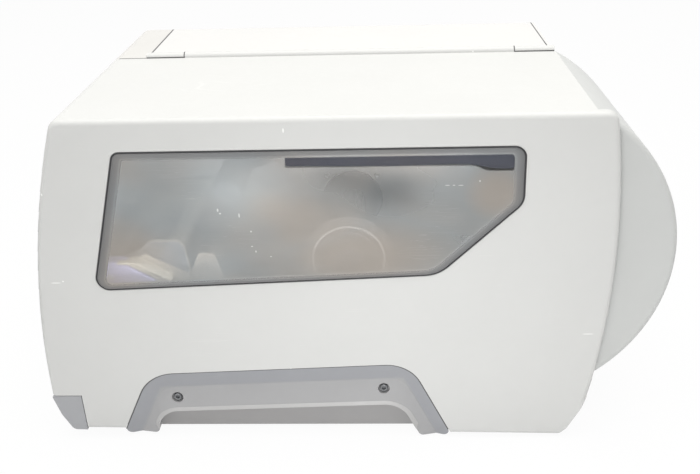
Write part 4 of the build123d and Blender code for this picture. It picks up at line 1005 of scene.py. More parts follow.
@dataclass(frozen=True)
class Fastener:
    """Button-head screw with a six-lobed recess."""

    head: float
    height: float
    shank: float = 0.0
    length: float = 0.0

    def shell(self, seat: Sequence[float], out: Sequence[float]) -> Shell:
        """Turns one screw whose head sits on a face.

        Args:
            seat: Middle of the head's underside.
            out: Direction that the head looks in.

        Returns:
            The shell, from the end of the shank to the floor of the recess.
        """
        r, h = self.head, self.height
        shank = [(self.shank, -self.length), (self.shank, 0.0)] if self.length else []
        profile = shank + [(r * 0.98, 0.0), (r, h * 0.35), (r * 0.93, h * 0.75), (r * 0.78, h), (r * 0.56, h),
                           (r * 0.50, h * 0.92), (r * 0.44, h * 0.25), (r * 0.10, h * 0.18)]
        lobes = [0.0] * (len(profile) - 4) + [0.02, 0.14, 0.14, 0.0]
        return turned(profile, seat, out, steps=48, lobes=lobes)


@dataclass(frozen=True)
class DoorWindow:
    """Smoked pane of the side door with its gasket, inner seal, a dark top strip that paints shade, and retainer
    screws.
    """

    corners: Points = ((-164.4, 256.3), (128.0, 257.0), (129.0, 213.0), (68.5, 154.3), (-195.0, 143.0))
    radii: tuple[float, ...] = (7.0, 9.0, 14.0, 26.0, 10.0)
    border: tuple[float, ...] = (5.0, 7.9, 6.4, 4.8, 7.8)
    opening: tuple[float, ...] = (6.0, 7.5, 6.0, 3.5, 7.0)
    seat_x: float = 135.0
    door_x: float = 136.5
    face_x: float = 138.0
    seat_gap: float = 0.06
    gasket_width: float = 1.25
    bead_half: float = 0.85
    bead_rise: float = 0.34
    seal_back: float = 131.4
    seal_lap: float = 0.3
    seal_proud: float = 0.2
    seal_radius: float = 5.0
    strip_y: tuple[float, ...] = (-41.6, -10.0, 11.0, 29.0, 60.0, 86.0, 94.0, 101.0, 108.0, 121.0)
    strip_low: tuple[float, ...] = (243.2, 243.0, 242.6, 242.0, 242.8, 243.0, 242.3, 240.6, 239.4, 239.0)
    strip_top: float = 251.2
    strip_thick: float = 1.22
    strip_round: float = 5.0
    screw: Fastener = Fastener(head=1.7, height=1.0)

    def ring(self, depths: Sequence[float], x: float) -> np.ndarray:
        """Draws one outline of the window.

        Args:
            depths: How far each side is set in.
            x: Where the outline stands.

        Returns:
            The ring of points.
        """
        corners, depths = np.array(self.corners), np.asarray(depths, float)
        radii = np.maximum(np.array(self.radii) - np.minimum(depths, np.roll(depths, 1)), 2.0)
        return on_x(rounded(inset(corners, depths), radii), x)

    def pane(self) -> None:
        """Pane whose edge swells from the gasket to the face as a quarter of an ellipse.

        At t from 0 to 1 the depth is g + 0.8 (b - g)(1 - cos(t pi/2)) and x is low + (face - low) sin(t pi/2), with
        g the gasket's width and b the border. The attribute "band" fades over the border in front and is printed
        round the opening behind; "haze" is nothing on the rest of the back.
        """
        border = np.array(self.border)
        edge = np.full(5, self.gasket_width - 0.1)
        low = self.door_x - 0.3
        t = np.linspace(0.0, np.pi / 2, 9)
        opening = np.array(self.opening)
        back = self.seat_x + self.seat_gap
        rows = [(opening + 1.0, back), (opening + 0.6, back), (edge, back)]
        rows += [(edge + (border - edge) * 0.8 * (1 - np.cos(a)), low + (self.face_x - low) * np.sin(a)) for a in t]
        rows += [(border, self.face_x), (border + 1.2, self.face_x)]
        rings = np.stack([self.ring(depth, x) for depth, x in rows])
        piece = Piece("window_pane").add(skin(rings)).build("door", "smoked_window", ("door_window",), crease=50)
        haze = np.ones(len(rows))
        band = np.concatenate([[1.0, 1.0, 1.0], np.linspace(1.0, 0.84, len(t)), [0.55, 0.0]])
        haze[0] = 0.0
        for name, values in (("band", band), ("haze", haze)):
            layer = piece.data.attributes.new(name, "FLOAT", "POINT")
            layer.data.foreach_set("value", np.repeat(values, rings.shape[1]))

    def gasket(self) -> None:
        """Black cord round the pane: an oval section carried round the outline."""
        angle = np.linspace(0.0, 2 * np.pi, 12, endpoint=False)
        half, sunk, tall = self.gasket_width / 2, 0.55, 0.95
        rings = [self.ring(np.full(5, half + 0.05 + half * np.cos(a)), self.door_x - sunk + tall * np.sin(a))
                 for a in angle]
        Piece("window_gasket").add(skin(np.stack(rings), tube=True)).build("door", "black_plastic")

    def rim(self) -> None:
        """Rounded bead of the door round the window, a low arc between the gasket and the door's face."""
        middle, foot = -0.9, self.door_x - 0.6
        rows = [(middle - self.bead_half * np.cos(a), self.door_x - 0.12 + self.bead_rise * np.sin(a))
                for a in np.linspace(0.0, np.pi, 9)]
        rows = [(middle - self.bead_half, foot), *rows, (middle + self.bead_half, foot)]
        rings = [self.ring(np.full(5, d), x) for d, x in rows]
        Piece("window_rim").add(skin(np.stack(rings), tube=True)).build("door", "door_plastic", crease=60)

    def seal(self) -> None:
        """Rubber lining of the opening behind the pane, an oblong section with one corner cut."""
        corners, outer = np.array(self.corners), np.array(self.opening) - self.seal_lap
        front = self.seat_x - 0.12
        section = ((0.0, self.seal_back), (1.0, self.seal_back), (1.0, front - 0.48), (0.7, front), (0.0, front))
        rings = [on_x(rounded(inset(corners, outer + share * (self.seal_proud + self.seal_lap)),
                              np.full(5, self.seal_radius - share)), x) for share, x in section]
        Piece("window_seal").add(skin(np.stack(rings), tube=True)).build("door", "seal_rubber")

    def strip(self) -> None:
        """Dark strip under the top of the pane that stands in for the shade there, a painted shade; its lower edge
        wanders as that shade does.

        The lower edge is a curve through the listed heights, the upper one is level, and the end is rounded by a
        quarter ellipse; each ring is an oblong section with its corners cut.
        """
        y = np.linspace(self.strip_y[0], self.strip_y[-1], 90)
        low = np.interp(y, self.strip_y, self.strip_low)
        low = np.convolve(np.pad(low, 3, mode="edge"), np.ones(7) / 7, mode="valid")
        close = np.clip((y - (y[-1] - self.strip_round)) / self.strip_round, 0.0, 1.0)
        pull = 1 - np.sqrt(1 - close ** 2 * 0.98)
        high, low = self.strip_top - 3.5 * pull, low + 2.5 * pull
        x1 = self.seat_x - 0.08
        x0 = x1 - self.strip_thick
        section = ((x0, low), (x1 - 0.2, low), (x1, low + 0.2), (x1, high - 0.2), (x1 - 0.2, high), (x0, high))
        rings = np.stack([np.stack([np.full_like(y, x), y, z], axis=1) for x, z in section], axis=1)
        Piece("window_shade_strip").add(skin(rings)).build("door", "shade_strip_navy")

    def screws(self) -> None:
        """Small screws along the frame that holds the pane from inside."""
        places = self.ring(np.array(self.border) * 0.5 + 1.0, self.door_x - 5.0)[::15]
        heads = [self.screw.shell(place, (-1.0, 0.0, 0.0)) for place in places]
        Piece("retainer_screws").add(*heads).build("door", "zinc_steel")

    def build(self) -> None:
        """Builds the six pieces."""
        self.pane()
        self.rim()
        self.gasket()
        self.seal()
        self.strip()
        self.screws()


@dataclass(frozen=True)
class SkirtScrews:
    """Screws that hold the arch skirts to the pan, two on each side."""

    places: Points = ((-143.0, 39.5), (26.7, 47.7))
    seat_x: float = 129.8
    screw: Fastener = Fastener(head=3.5, height=2.9, shank=2.0, length=9.6)

    def build(self) -> None:
        """Turns the four screws and stands them in for the plain ones."""
        shells = [self.screw.shell((side * self.seat_x, y, z), (side, 0.0, 0.0))
                  for side in (1, -1) for y, z in self.places]
        Piece("skirt_screw_set").add(*shells).build("housing", "grey_screws", ("skirt_screws",))


@dataclass(frozen=True)
class ArchLips:
    """Raised lip along the inner edge of each arch skirt, lighter than the skirt as a painted highlight, and a dark
    line round its outer edge as a painted shadow of the gap above it.
    """

    corners: Points = ((-161.4, 8.5), (-158.8, 26.5), (40.4, 33.7), (53.3, 8.0))
    radii: tuple[float, ...] = (0.01, 18.0, 22.0, 0.01)
    section: Points = ((-3.6, 133.9), (-2.6, 134.5), (-0.9, 135.45), (-0.25, 135.65), (0.12, 135.3), (0.15, 133.4),
                       (-1.2, 133.0))
    rim: Points = ((-189.4, 9.0), (-163.2, 64.5), (47.1, 73.6), (79.5, 8.0))
    rim_radii: tuple[float, ...] = (0.01, 33.0, 30.0, 0.01)
    rim_section: Points = ((-0.42, 134.6), (-0.42, 135.9), (0.4, 135.95), (0.4, 134.6))
    steps: int = 14
    runs: int = 10

    def shell(self, side: int, corners: Points, radii: Sequence[float], section: Points) -> Shell:
        """Carries a section along an outline from leg to leg.

        Every outline runs once round the mouth; the part between the first and the last corner is kept.

        Args:
            side: 1 on the door side, -1 on the other.
            corners: Corners of the outline, clockwise.
            radii: Radius at each corner.
            section: Depth inside the outline and distance from the middle plane, point by point.

        Returns:
            The shell.
        """
        shape, round_off = np.array(corners), np.array(radii)
        outlines = [on_x(rounded(inset(shape, np.array([d, d, d, 0.0])), np.maximum(round_off - d, 0.01),
                                 self.steps, self.runs), side * x) for d, x in section]
        return skin(np.stack(outlines, axis=1)[self.steps - 1:3 * (self.steps + self.runs) + 1])

    def build(self) -> None:
        """Builds both lips as one piece, and both dark lines round the skirts, a painted shadow, as another."""
        lips = [self.shell(side, self.corners, self.radii, self.section) for side in (1, -1)]
        lines = [self.shell(side, self.rim, self.rim_radii, self.rim_section) for side in (1, -1)]
        Piece("arch_lips").add(*lips).build("housing", "lip_plastic_highlight")
        # Dark rubber lines round the skirts: a painted shadow of the gap under the door.
        Piece("arch_shadow_lines").add(*lines).build("housing", "seal_rubber")


@dataclass(frozen=True)
class Seams:
    """Dark rubber strips in the joints of the housing and dark washers between the hinge knuckles: painted shade in
    those gaps.
    """

    top_z: float = 280.0
    left_x: float = -138.0
    rail_x: float = -36.0
    edge_r: float = 4.0
    axis: tuple[float, float] = (-31.0, 280.0)
    knuckle_r: float = 4.08
    front_y: float = -175.35
    rear_y: float = 171.6
    front_half: float = 0.75
    rear_half: float = 0.55
    front_low: float = 44.0
    rear_low: float = 9.0
    bezel: Box = ((-28.4, -199.5, 279.6), (-27.05, -175.7, 280.1))
    crevice_x: Limits = (-27.3, -26.86)
    crevice_z: Limits = (279.4, 280.9)
    crevices_y: Points = ((-175.4, -142.6), (140.6, 174.4))
    washers_y: Points = ((-143.15, -142.25), (140.25, 141.15))

    def hoop(self, y: float, half: float, low_z: float) -> Shell:
        """Lays a flat band over the roof and down the left side, on a path that rounds the corner by its radius.

        Args:
            y: Middle of the band.
            half: Half of its width.
            low_z: Where it ends on the side.

        Returns:
            The shell.
        """
        turn = np.linspace(np.pi / 2, np.pi, 8)
        arc = np.stack([np.cos(turn), np.sin(turn)], axis=1)
        middle = np.array([self.left_x + self.edge_r, self.top_z - self.edge_r])
        path = np.concatenate([[(self.rail_x, self.top_z)], middle + arc * self.edge_r, [(self.left_x, low_z)]])
        out = np.concatenate([[(0.0, 1.0)], arc, [(-1.0, 0.0)]])
        rings = []
        for across, lift in ((-half, -0.4), (-half, 0.02), (-half * 0.7, 0.1), (half * 0.7, 0.1), (half, 0.02),
                             (half, -0.4)):
            flat = path + out * lift
            rings.append(np.stack([flat[:, 0], np.full(len(flat), y + across), flat[:, 1]], axis=1))
        return skin(np.stack(rings, axis=1))

    def washer(self, low_y: float, high_y: float) -> Shell:
        """Turns a thin washer about the hinge pin, a hair larger than the knuckles.

        Args:
            low_y: Its front face.
            high_y: Its rear face.

        Returns:
            The shell.
        """
        bore, r = 2.0, self.knuckle_r
        section = [(bore, low_y), (r, low_y), (r + 0.06, (low_y + high_y) / 2), (r, high_y), (bore, high_y)]
        return turned(section, (self.axis[0], 0.0, self.axis[1]), (0.0, 1.0, 0.0), steps=48, wreath=True)

    def build(self) -> None:
        """Builds the dark strips in the joints of the cover and the bezel, the strips in the crevices at the fixed
        knuckles and the washers, all painted shade.
        """
        hoops = [self.hoop(self.front_y, self.front_half, self.front_low),
                 self.hoop(self.rear_y, self.rear_half, self.rear_low)]
        Piece("cover_shade_strips").add(*hoops, block(*self.bezel, 0.04)).build("housing", "seal_rubber")
        crevice_strips = [block((self.crevice_x[0], low, self.crevice_z[0]), (self.crevice_x[1], high, self.crevice_z[1]), 0.05)
                  for low, high in self.crevices_y]
        washers = [self.washer(*faces) for faces in self.washers_y]
        Piece("hinge_shade_strips").add(*crevice_strips, *washers).build("housing", "seal_rubber")


@dataclass(frozen=True)
class Reel:
    """Dressing of a ribbon spindle: an outer flange, a pale ring on it that is a painted highlight, and a domed end
    cap.
    """

    name: str
    axis: tuple[float, float]
    hub: float = 11.0
    end_x: float = 96.0
    flange: float = 38.0
    flange_x: float = 88.0
    inner_share: float = 0.62
    hoop_share: float = 0.76
    hoop_x: float = 89.9

    def about(self, section: Points, x: float, steps: int, wreath: bool) -> Shell:
        """Turns a section about the spindle, with its heights counted from x."""
        return turned(section, (x, *self.axis), (1.0, 0.0, 0.0), steps=steps, wreath=wreath)

    def disc(self) -> Shell:
        """Flange with a rolled rim and a raised inner ring, as one closed section turned about the spindle.

        Returns:
            The shell.
        """
        rim, ring = self.flange, self.flange * self.inner_share
        section = [(self.hub - 0.3, 0.0), (rim - 1.5, 0.0), (rim - 0.4, 0.5), (rim, 1.5), (rim - 0.4, 3.0),
                   (rim - 1.4, 3.5), (rim - 2.4, 3.0), (rim - 3.0, 2.0), (ring + 2.0, 2.0), (ring + 1.4, 3.4),
                   (ring, 3.8), (ring - 1.4, 3.4), (ring - 2.0, 2.0), (self.hub + 3.0, 2.0),
                   (self.hub + 2.4, 5.5), (self.hub - 0.3, 5.5)]
        return self.about(section, self.flange_x, 96, wreath=True)

    def hoop(self) -> Shell:
        """Pale ring on the flange, a painted highlight, as a low rounded section three quarters of the way out.

        Returns:
            The shell.
        """
        r = self.flange * self.hoop_share
        section = [(r - 1.0, 0.0), (r + 1.0, 0.0), (r + 1.0, 0.5), (r + 0.6, 0.9), (r - 0.6, 0.9), (r - 1.0, 0.5)]
        return self.about(section, self.hoop_x, 96, wreath=True)

    def cap(self) -> Shell:
        """End cap: at the share t of its height the radius is r sqrt(1 - 0.85 t t), a shallow dome with a dimple.

        Returns:
            The shell.
        """
        dome = [(self.hub * math.sqrt(1.0 - 0.85 * t ** 2), 1.6 * t) for t in np.linspace(0.0, 1.0, 8)]
        profile = [(self.hub * 0.98, -0.4), *dome, (2.6, 1.5), (2.0, 0.6), (0.4, 0.5)]
        return self.about(profile, self.end_x, 64, wreath=False)

    def build(self, flanged: bool) -> None:
        """Builds the pieces of the reel.

        Args:
            flanged: Whether it has a flange with a ring beside its cap.
        """
        body = f"{self.name}_reel"
        Piece(f"{self.name}_cap").add(self.cap()).build(body, "spindle_plastic")
        if flanged:
            Piece(f"{self.name}_flange").add(self.disc()).build(body, "flange_plastic")
            Piece(f"{self.name}_ring").add(self.hoop()).build(body, "ring_highlight_plastic")


@dataclass(frozen=True)
class LiftLever:
    """Head lift lever: a coloured nose, a cream arm behind it with a raised upper edge, and a white spot."""

    inner_x: float = 110.3
    face_x: float = 121.3
    nose: Points = ((-196.2, 159.6), (-176.2, 159.6), (-150.6, 143.6), (-148.0, 133.6), (-196.2, 133.6))
    nose_radii: tuple[float, ...] = (9.0, 1.2, 3.0, 1.2, 8.0)
    arm: Points = ((-175.4, 159.0), (-163.9, 158.9), (-137.7, 142.9), (-141.5, 133.6), (-147.4, 133.6),
                   (-150.0, 143.8))
    arm_radii: tuple[float, ...] = (1.0, 3.0, 3.0, 5.0, 1.0, 3.0)
    ridge: Points = ((-178.8, 159.7), (-163.6, 159.5), (-137.2, 143.6), (-137.9, 141.9), (-164.2, 157.6),
                     (-178.8, 157.8))
    spot: tuple[float, float] = (-185.4, 146.6)
    spot_dome: Points = ((2.3, -0.3), (2.3, 0.0), (2.1, 0.35), (1.6, 0.6), (0.9, 0.72), (0.2, 0.75))

    def build(self) -> None:
        """Builds nose, arm, upper edge and spot in place of the plain lever."""
        nose = prism(self.nose, self.nose_radii, self.inner_x, self.face_x, 2.4)
        Piece("lever_nose").add(nose).build("head_lever", "touch_lilac", ("lift_lever",))
        arm = prism(self.arm, self.arm_radii, self.inner_x, self.face_x - 0.6, 1.2)
        edge = prism(self.ridge, (0.6,) * 6, self.face_x - 4.0, self.face_x + 0.9, 0.5)
        Piece("lever_arm").add(arm, edge).build("head_lever", "cream_plastic")
        dome = turned(self.spot_dome, (self.face_x, *self.spot), (1.0, 0.0, 0.0))
        Piece("touch_spot").add(dome).build("head_lever", "spot_white", ("lever_spot",))


@dataclass(frozen=True)
class PrintUnitHardware:
    """Screws, shields and bracket of the cheek, screws of the centre wall, and the spring on the head shaft."""

    cheek_x: float = 110.0
    wall_x: float = -30.0
    cheek: Points = ((-208.0, 58.0), (-136.0, 58.0), (-136.0, 96.0))
    rewind_square: float = 24.0
    supply_square: float = 23.0
    shield_back: float = 109.9
    shield_front: float = 110.15
    shield_rear: float = 110.25
    crease: Points = ((-149.0, 155.6), (-139.8, 171.6))
    bracket: Points = ((-118.3, 159.7), (-105.3, 159.7), (-98.9, 136.5), (-128.0, 136.5))
    bracket_x: Limits = (105.6, 108.2)
    spring_start: Place = (-29.2, -137.5, 160.0)
    spring_r: float = 6.2
    spring_wire: float = 0.65
    spring_pitch: float = 1.45
    spring_turns: float = 4.5
    wall_screw: Fastener = Fastener(head=3.0, height=1.9)
    cheek_screw: Fastener = Fastener(head=3.2, height=2.0)

    def wall_screws(self) -> None:
        """Four screws round each drive unit, on a square about its shaft."""
        square = np.array([(-1.0, -1.0), (-1.0, 1.0), (1.0, 1.0), (1.0, -1.0)])
        places = np.concatenate([np.array(REWIND_AXIS) + self.rewind_square * square,
                                 np.array(SUPPLY_AXIS) + self.supply_square * square])
        shells = [self.wall_screw.shell((self.wall_x, y, z), (1.0, 0.0, 0.0)) for y, z in places]
        Piece("wall_screws").add(*shells).build("housing", "zinc_steel")

    def cheek_screws(self) -> None:
        """Screws through the cheek into the bed."""
        shells = [self.cheek_screw.shell((self.cheek_x, y, z), (1.0, 0.0, 0.0)) for y, z in self.cheek]
        Piece("cheek_screws").add(*shells).build("housing", "zinc_steel")

    def cheek_cover(self) -> None:
        """Shield in two parts that meet at its crease, on the upper part of the cheek, and a bracket behind it."""
        low, high = self.crease
        front = prism(((-167.0, 158.8), (-155.9, 171.6), high, low, (-158.5, 161.0)), (0.5, 9.5, 0.5, 0.5, 0.5),
                      self.shield_back, self.shield_front, 0.1)
        Piece("shield_front").add(front).build("housing", "shield_dark")
        rear = prism((low, high, (-128.8, 171.6), (-126.2, 150.5), (-126.2, 143.7)), (0.5, 0.5, 7.5, 7.5, 0.5),
                     self.shield_back, self.shield_rear, 0.1)
        Piece("shield_rear").add(rear).build("housing", "shield_grey")
        bracket = prism(self.bracket, (1.5, 4.0, 3.0, 1.5), *self.bracket_x, 0.8)
        Piece("cheek_bracket").add(bracket).build("housing", "bracket_cream")

    def spring(self) -> None:
        """Torsion spring round the head shaft, between the wall and the carrier's inner arm."""
        wound = coil(self.spring_start, self.spring_r, self.spring_wire, self.spring_pitch, self.spring_turns)
        Piece("head_spring").add(wound).build("housing", "zinc_steel")

    def build(self) -> None:
        """Builds the six pieces."""
        self.wall_screws()
        self.cheek_screws()
        self.cheek_cover()
        self.spring()


@dataclass(frozen=True)
class PanelMarks:
    """Raised signs on the three buttons: two bars, an arrowhead and a cross."""

    z: float = 166.0
    proud: float = 1.8
    front_r: float = 696.0
    front_y: float = -239.0
    bow: float = 7.0
    middle_z: float = 45.0
    button_x: tuple[float, float, float] = (-111.0, -84.0, -57.0)
    bar: Points = ((-0.6, -2.4), (-0.6, 2.4), (0.6, 2.4), (0.6, -2.4))
    bar_shift: float = 1.3
    arrow: Points = ((-2.4, -1.2), (0.0, 2.2), (2.4, -1.2), (1.3, -1.6), (0.0, 0.2), (-1.3, -1.6))
    cross_turn: float = 0.785

    def frame(self, x: float) -> tuple[np.ndarray, np.ndarray, np.ndarray]:
        """Finds the face of a button's cap.

        The front is an arc of radius R about its middle height, so its slope at z is asin((z - middle) / R).

        Args:
            x: Middle of the button.

        Returns:
            The middle of its cap, the direction up its face and the direction out of it.
        """
        tilt = math.asin((self.z - self.middle_z) / self.front_r)
        y = self.front_y - self.bow + self.front_r * (1 - math.cos(tilt))
        normal = np.array([0.0, -math.cos(tilt), math.sin(tilt)])
        up = np.array([0.0, math.sin(tilt), math.cos(tilt)])
        return np.array([x, y, self.z]) + normal * (self.proud + 0.02), up, normal

    def sign(self, x: float, outline: Points | np.ndarray) -> Shell:
        """Raises a low prism over an outline; its top ring is drawn in a little.

        Args:
            x: Middle of the button.
            outline: Corners as (right, up) on its face.

        Returns:
            The shell.
        """
        origin, up, normal = self.frame(x)
        flat = np.array(outline)
        middle = flat.mean(axis=0)
        rings = []
        for share, height in ((1.0, -0.2), (1.0, 0.18), (0.9, 0.28)):
            laid = middle + (flat - middle) * share
            rings.append(origin + laid[:, :1] * np.array([1.0, 0.0, 0.0]) + laid[:, 1:] * up + normal * height)
        return skin(np.stack(rings))

    def build(self) -> None:
        """Builds one piece for each button."""
        bar = np.array(self.bar)
        turns = [np.array([[math.cos(a), -math.sin(a)], [math.sin(a), math.cos(a)]])
                 for a in (self.cross_turn, -self.cross_turn)]
        signs = (("pause", [bar + (-self.bar_shift, 0.0), bar + (self.bar_shift, 0.0)]), ("feed", [self.arrow]),
                 ("cancel", [bar @ turn for turn in turns]))
        for (name, outlines), x in zip(signs, self.button_x):
            shells = [self.sign(x, outline) for outline in outlines]
            Piece(f"{name}_sign").add(*shells).build(f"{name}_key", "spot_white")


@dataclass(frozen=True)
class RearConnectors:
    """Contacts inside the three sockets and screws of the rear panel."""

    face_y: float = 172.5
    port_x: float = -63.0
    port_depth: float = 8.5
    network_z: Limits = (111.0, 113.4)
    blade_pitch: float = 1.4
    usb_z: Limits = (135.5, 140.5)
    usb_half: float = 3.6
    serial_z: float = 172.0
    pin_pitch: float = 2.76
    pin_row: float = 1.5
    screw_x: Limits = (-129.0, -40.0)
    screw_z: Limits = (51.0, 260.0)
    screw: Fastener = Fastener(head=3.2, height=1.6)

    def contacts(self) -> None:
        """Eight blades in the network socket, a tongue in the USB one and nine pins in two rows in the serial one."""
        x, y = self.port_x, self.face_y
        floor = y - self.port_depth
        blades = [block((x - 5.2 + i * self.blade_pitch, floor, self.network_z[0]),
                        (x - 4.6 + i * self.blade_pitch, y - 1.5, self.network_z[1]), 0.1) for i in range(8)]
        tongue = block((x - self.usb_half, floor, self.usb_z[0]), (x + self.usb_half, y - 1.0, self.usb_z[1]), 0.3)
        rows = [(x - self.pin_row, self.serial_z + (i - 2) * self.pin_pitch) for i in range(5)]
        rows += [(x + self.pin_row, self.serial_z + (i - 1.5) * self.pin_pitch) for i in range(4)]
        pins = [turned([(0.5, -8.0), (0.5, -1.6), (0.42, -1.2), (0.15, -1.0)], (px, y, pz), (0.0, 1.0, 0.0), 12)
                for px, pz in rows]
        Piece("socket_contacts").add(*blades, *pins).build("housing", "contact_gold")
        Piece("socket_tongue").add(tongue).build("housing", "black_plastic")

    def screws(self) -> None:
        """Four screws at the panel's corners, in place of the plain ones."""
        shells = [self.screw.shell((x, self.face_y, z), (0.0, 1.0, 0.0))
                  for x in self.screw_x for z in self.screw_z]
        Piece("panel_screw_set").add(*shells).build("housing", "zinc_steel", ("rear_screws",))

    def build(self) -> None:
        """Builds contacts and screws."""
        self.contacts()
        self.screws()


@dataclass(frozen=True)
class BoardParts:
    """Chips, connectors and capacitors on the main board, each off its face towards the left cover.

    Chips and headers are given as y, z, length and height, and capacitors as y, z and radius.
    """

    face_x: float = -76.0
    chips: tuple[Footprint, ...] = ((-45.0, 185.0, 14.0, 10.0), (-45.0, 160.0, 14.0, 10.0), (-20.0, 95.0, 9.0, 9.0),
                                    (30.0, 92.0, 12.0, 8.0), (85.0, 175.0, 10.0, 14.0), (105.0, 200.0, 16.0, 8.0),
                                    (0.0, 222.0, 12.0, 6.0), (30.0, 222.0, 12.0, 6.0))
    headers: tuple[Footprint, ...] = ((-50.0, 215.0, 24.0, 7.0), (60.0, 226.0, 20.0, 6.0), (-50.0, 84.0, 7.0, 22.0),
                                      (128.0, 190.0, 6.0, 26.0))
    cans: tuple[tuple[float, float, float], ...] = ((-15.0, 120.0, 5.0), (-2.0, 120.0, 5.0), (118.0, 100.0, 6.5),
                                                    (118.0, 118.0, 6.5), (95.0, 225.0, 4.0))

    def raised(self, places: Sequence[Footprint], proud: float, edge: float) -> list[Shell]:
        """Stands an oblong on the board at each place."""
        x = self.face_x
        return [block((x - proud, y, z), (x + 0.1, y + w, z + h), edge) for y, z, w, h in places]

    def can(self, y: float, z: float, r: float) -> Shell:
        """Turns one capacitor.

        Args:
            y: Where it stands.
            z: Its height.
            r: Its radius.

        Returns:
            The shell, with the crimp above its foot; it stands 2.2 r off the board.
        """
        tall = r * 2.2
        profile = [(r, -0.1), (r, 1.6), (r * 0.94, 2.1), (r, 2.6), (r, tall - 0.6), (r * 0.9, tall), (0.5, tall)]
        return turned(profile, (self.face_x, y, z), (-1.0, 0.0, 0.0), 32)

    def build(self) -> None:
        """Builds one piece for each kind of part."""
        Piece("board_chips").add(*self.raised(self.chips, 1.6, 0.2)).build("housing", "black_plastic")
        tins = [self.can(*place) for place in self.cans]
        Piece("board_capacitors").add(*tins).build("housing", "pulley_aluminium")
        Piece("board_headers").add(*self.raised(self.headers, 8.0, 0.5)).build("housing", "header_white")


# Studio


@dataclass(frozen=True)
class PhotoCamera:
    """Camera at the photograph's viewing angle, without shift; its turns are in radians."""

    place_mm: Place = (693.919, 26.480, 468.612)
    yaw: float = -0.042193
    pitch: float = 0.466822
    roll: float = 0.029214
    focal_px: float = 850.0
    width_px: float = 700.0
    sensor_mm: float = 36.0

    def build(self) -> None:
        """Places the camera: forward from yaw and pitch, then rolled about the line of sight."""
        forward = np.array([-math.cos(self.yaw) * math.cos(self.pitch),
                            math.sin(self.yaw) * math.cos(self.pitch), -math.sin(self.pitch)])
        right = np.array([math.sin(self.yaw), math.cos(self.yaw), 0.0])
        down = np.cross(forward, right)
        side = math.cos(self.roll) * right + math.sin(self.roll) * down
        low = -math.sin(self.roll) * right + math.cos(self.roll) * down
        data = bpy.data.cameras.new("photo_camera")
        data.sensor_width = self.sensor_mm
        data.lens = self.focal_px / self.width_px * self.sensor_mm
        data.clip_start, data.clip_end = 0.01, 100.0
        camera = bpy.data.objects.new("photo_camera", data)
        frame_matrix = Matrix(np.column_stack([side, -low, -forward]).tolist()).to_4x4()
        frame_matrix.translation = [c * MM for c in self.place_mm]
        camera.matrix_world = frame_matrix
        bpy.context.scene.collection.objects.link(camera)
        bpy.context.scene.camera = camera


@dataclass(frozen=True)
class SoftBox:
    """Square or oblong area lamp aimed at a point, in metres."""

    name: str
    place_m: Place
    aim_m: Place
    size_m: tuple[float, float]
    watts: float
    colour: Colour = (1.0, 1.0, 1.0)

    def build(self) -> None:
        """Makes the lamp and turns it towards its aim."""
        data = bpy.data.lights.new(self.name, "AREA")
        data.shape, data.size, data.size_y = "RECTANGLE", *self.size_m
        data.energy, data.color = self.watts, self.colour
        lamp = bpy.data.objects.new(self.name, data)
        away = Vector(self.place_m) - Vector(self.aim_m)
        lamp.matrix_world = Matrix.Translation(self.place_m) @ away.to_track_quat("Z", "Y").to_matrix().to_4x4()
        bpy.context.scene.collection.objects.link(lamp)


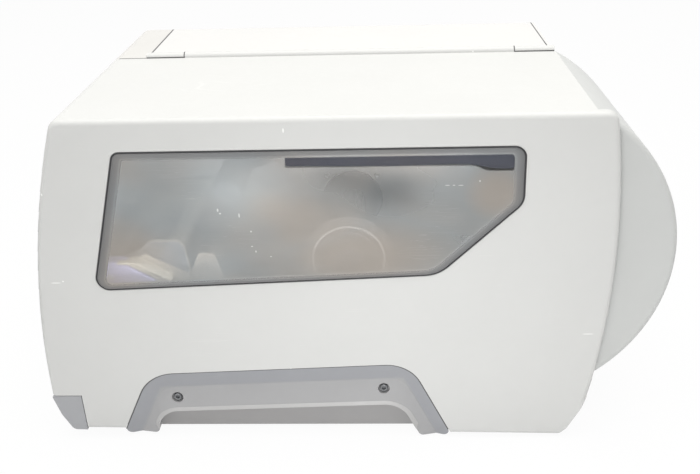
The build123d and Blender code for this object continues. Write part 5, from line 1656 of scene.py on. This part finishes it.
@dataclass(frozen=True)
class Studio:
    """Pale floor, white surroundings and soft lamps."""

    floor_m: float = 12.0
    floor_white: float = 0.76
    floor_glow: float = 0.95
    surround: float = 0.42
    lamps: tuple[SoftBox, ...] = (
        SoftBox("roof_box", place_m=(0.15, 0.1, 1.9), aim_m=(0.0, 0.0, 0.1), size_m=(1.8, 1.8), watts=42.0,
                colour=(1.0, 0.987, 0.96)),
        SoftBox("camera_box", place_m=(1.05, 0.03, 0.62), aim_m=(0.14, 0.03, 0.12), size_m=(0.8, 0.5), watts=1.1),
        SoftBox("near_box", place_m=(0.48, 0.03, 0.14), aim_m=(0.1365, 0.03, 0.06), size_m=(0.20, 0.10), watts=0.40),
        SoftBox("front_box", place_m=(0.6, -1.8, 0.9), aim_m=(0.0, 0.0, 0.12), size_m=(1.0, 1.0), watts=5.0),
    )

    def build(self) -> None:
        """Builds floor, world and lamps."""
        self.floor()
        self.world()
        for lamp in self.lamps:
            lamp.build()

    @staticmethod
    def seen_directly(g: Graph) -> Socket:
        """Tells the rays that see a surface from those that carry light.

        Args:
            g: Graph of the material or the world.

        Returns:
            One for camera, glossy and transmission rays, and zero for the others.
        """
        path = g.add("ShaderNodeLightPath").outputs
        return g.most(g.most(path["Is Camera Ray"], path["Is Glossy Ray"]), path["Is Transmission Ray"])

    def floor(self) -> None:
        """Flat square floor whose material is part glow for seen rays, so that its shadow stays."""
        half = self.floor_m / 2
        mesh = bpy.data.meshes.new("floor")
        mesh.from_pydata([(-half, -half, 0), (half, -half, 0), (half, half, 0), (-half, half, 0)], [], [(0, 1, 2, 3)])
        made, g, shader = new_material("floor_paper")
        shader.inputs["Base Color"].default_value = rgba((self.floor_white,) * 3)
        shader.inputs["Roughness"].default_value = 0.9
        shader.inputs["Specular IOR Level"].default_value = 0.1
        glow = g.add("ShaderNodeEmission", {"Color": (1, 1, 1, 1), "Strength": 1.0}).outputs[0]
        share = g.times(self.seen_directly(g), self.floor_glow)
        both = g.add("ShaderNodeMixShader", {0: share, 1: shader.outputs[0], 2: glow}).outputs[0]
        g.feed(made.node_tree.nodes["Material Output"].inputs["Surface"], both)
        mesh.materials.append(made)
        floor = bpy.data.objects.new("floor", mesh)
        bpy.context.scene.collection.objects.link(floor)

    def world(self) -> None:
        """White for rays that see it, and a softer grey for rays that carry its light."""
        world = bpy.data.worlds.new("surround")
        world.use_nodes = True
        g = Graph(world.node_tree)
        background = world.node_tree.nodes["Background"]
        background.inputs["Color"].default_value = (1, 1, 1, 1)
        extra = g.times(self.seen_directly(g), 1.0 - self.surround)
        g.feed(background.inputs["Strength"], g.plus(extra, self.surround))
        bpy.context.scene.world = world


def main() -> None:
    """Builds camera, studio, finishes and added pieces, in that order."""
    logging.basicConfig(level=logging.INFO, format="%(name)s: %(message)s")
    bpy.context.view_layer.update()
    PhotoCamera().build()
    Studio().build()
    dress_nodes()
    DoorWindow().build()
    SkirtScrews().build()
    ArchLips().build()
    Seams().build()
    Reel("supply", SUPPLY_AXIS).build(flanged=True)
    Reel("rewind", REWIND_AXIS).build(flanged=False)
    LiftLever().build()
    PrintUnitHardware().build()
    PanelMarks().build()
    RearConnectors().build()
    BoardParts().build()
    bpy.context.scene.view_settings.view_transform = "Standard"


if __name__ == "__main__":
    main()
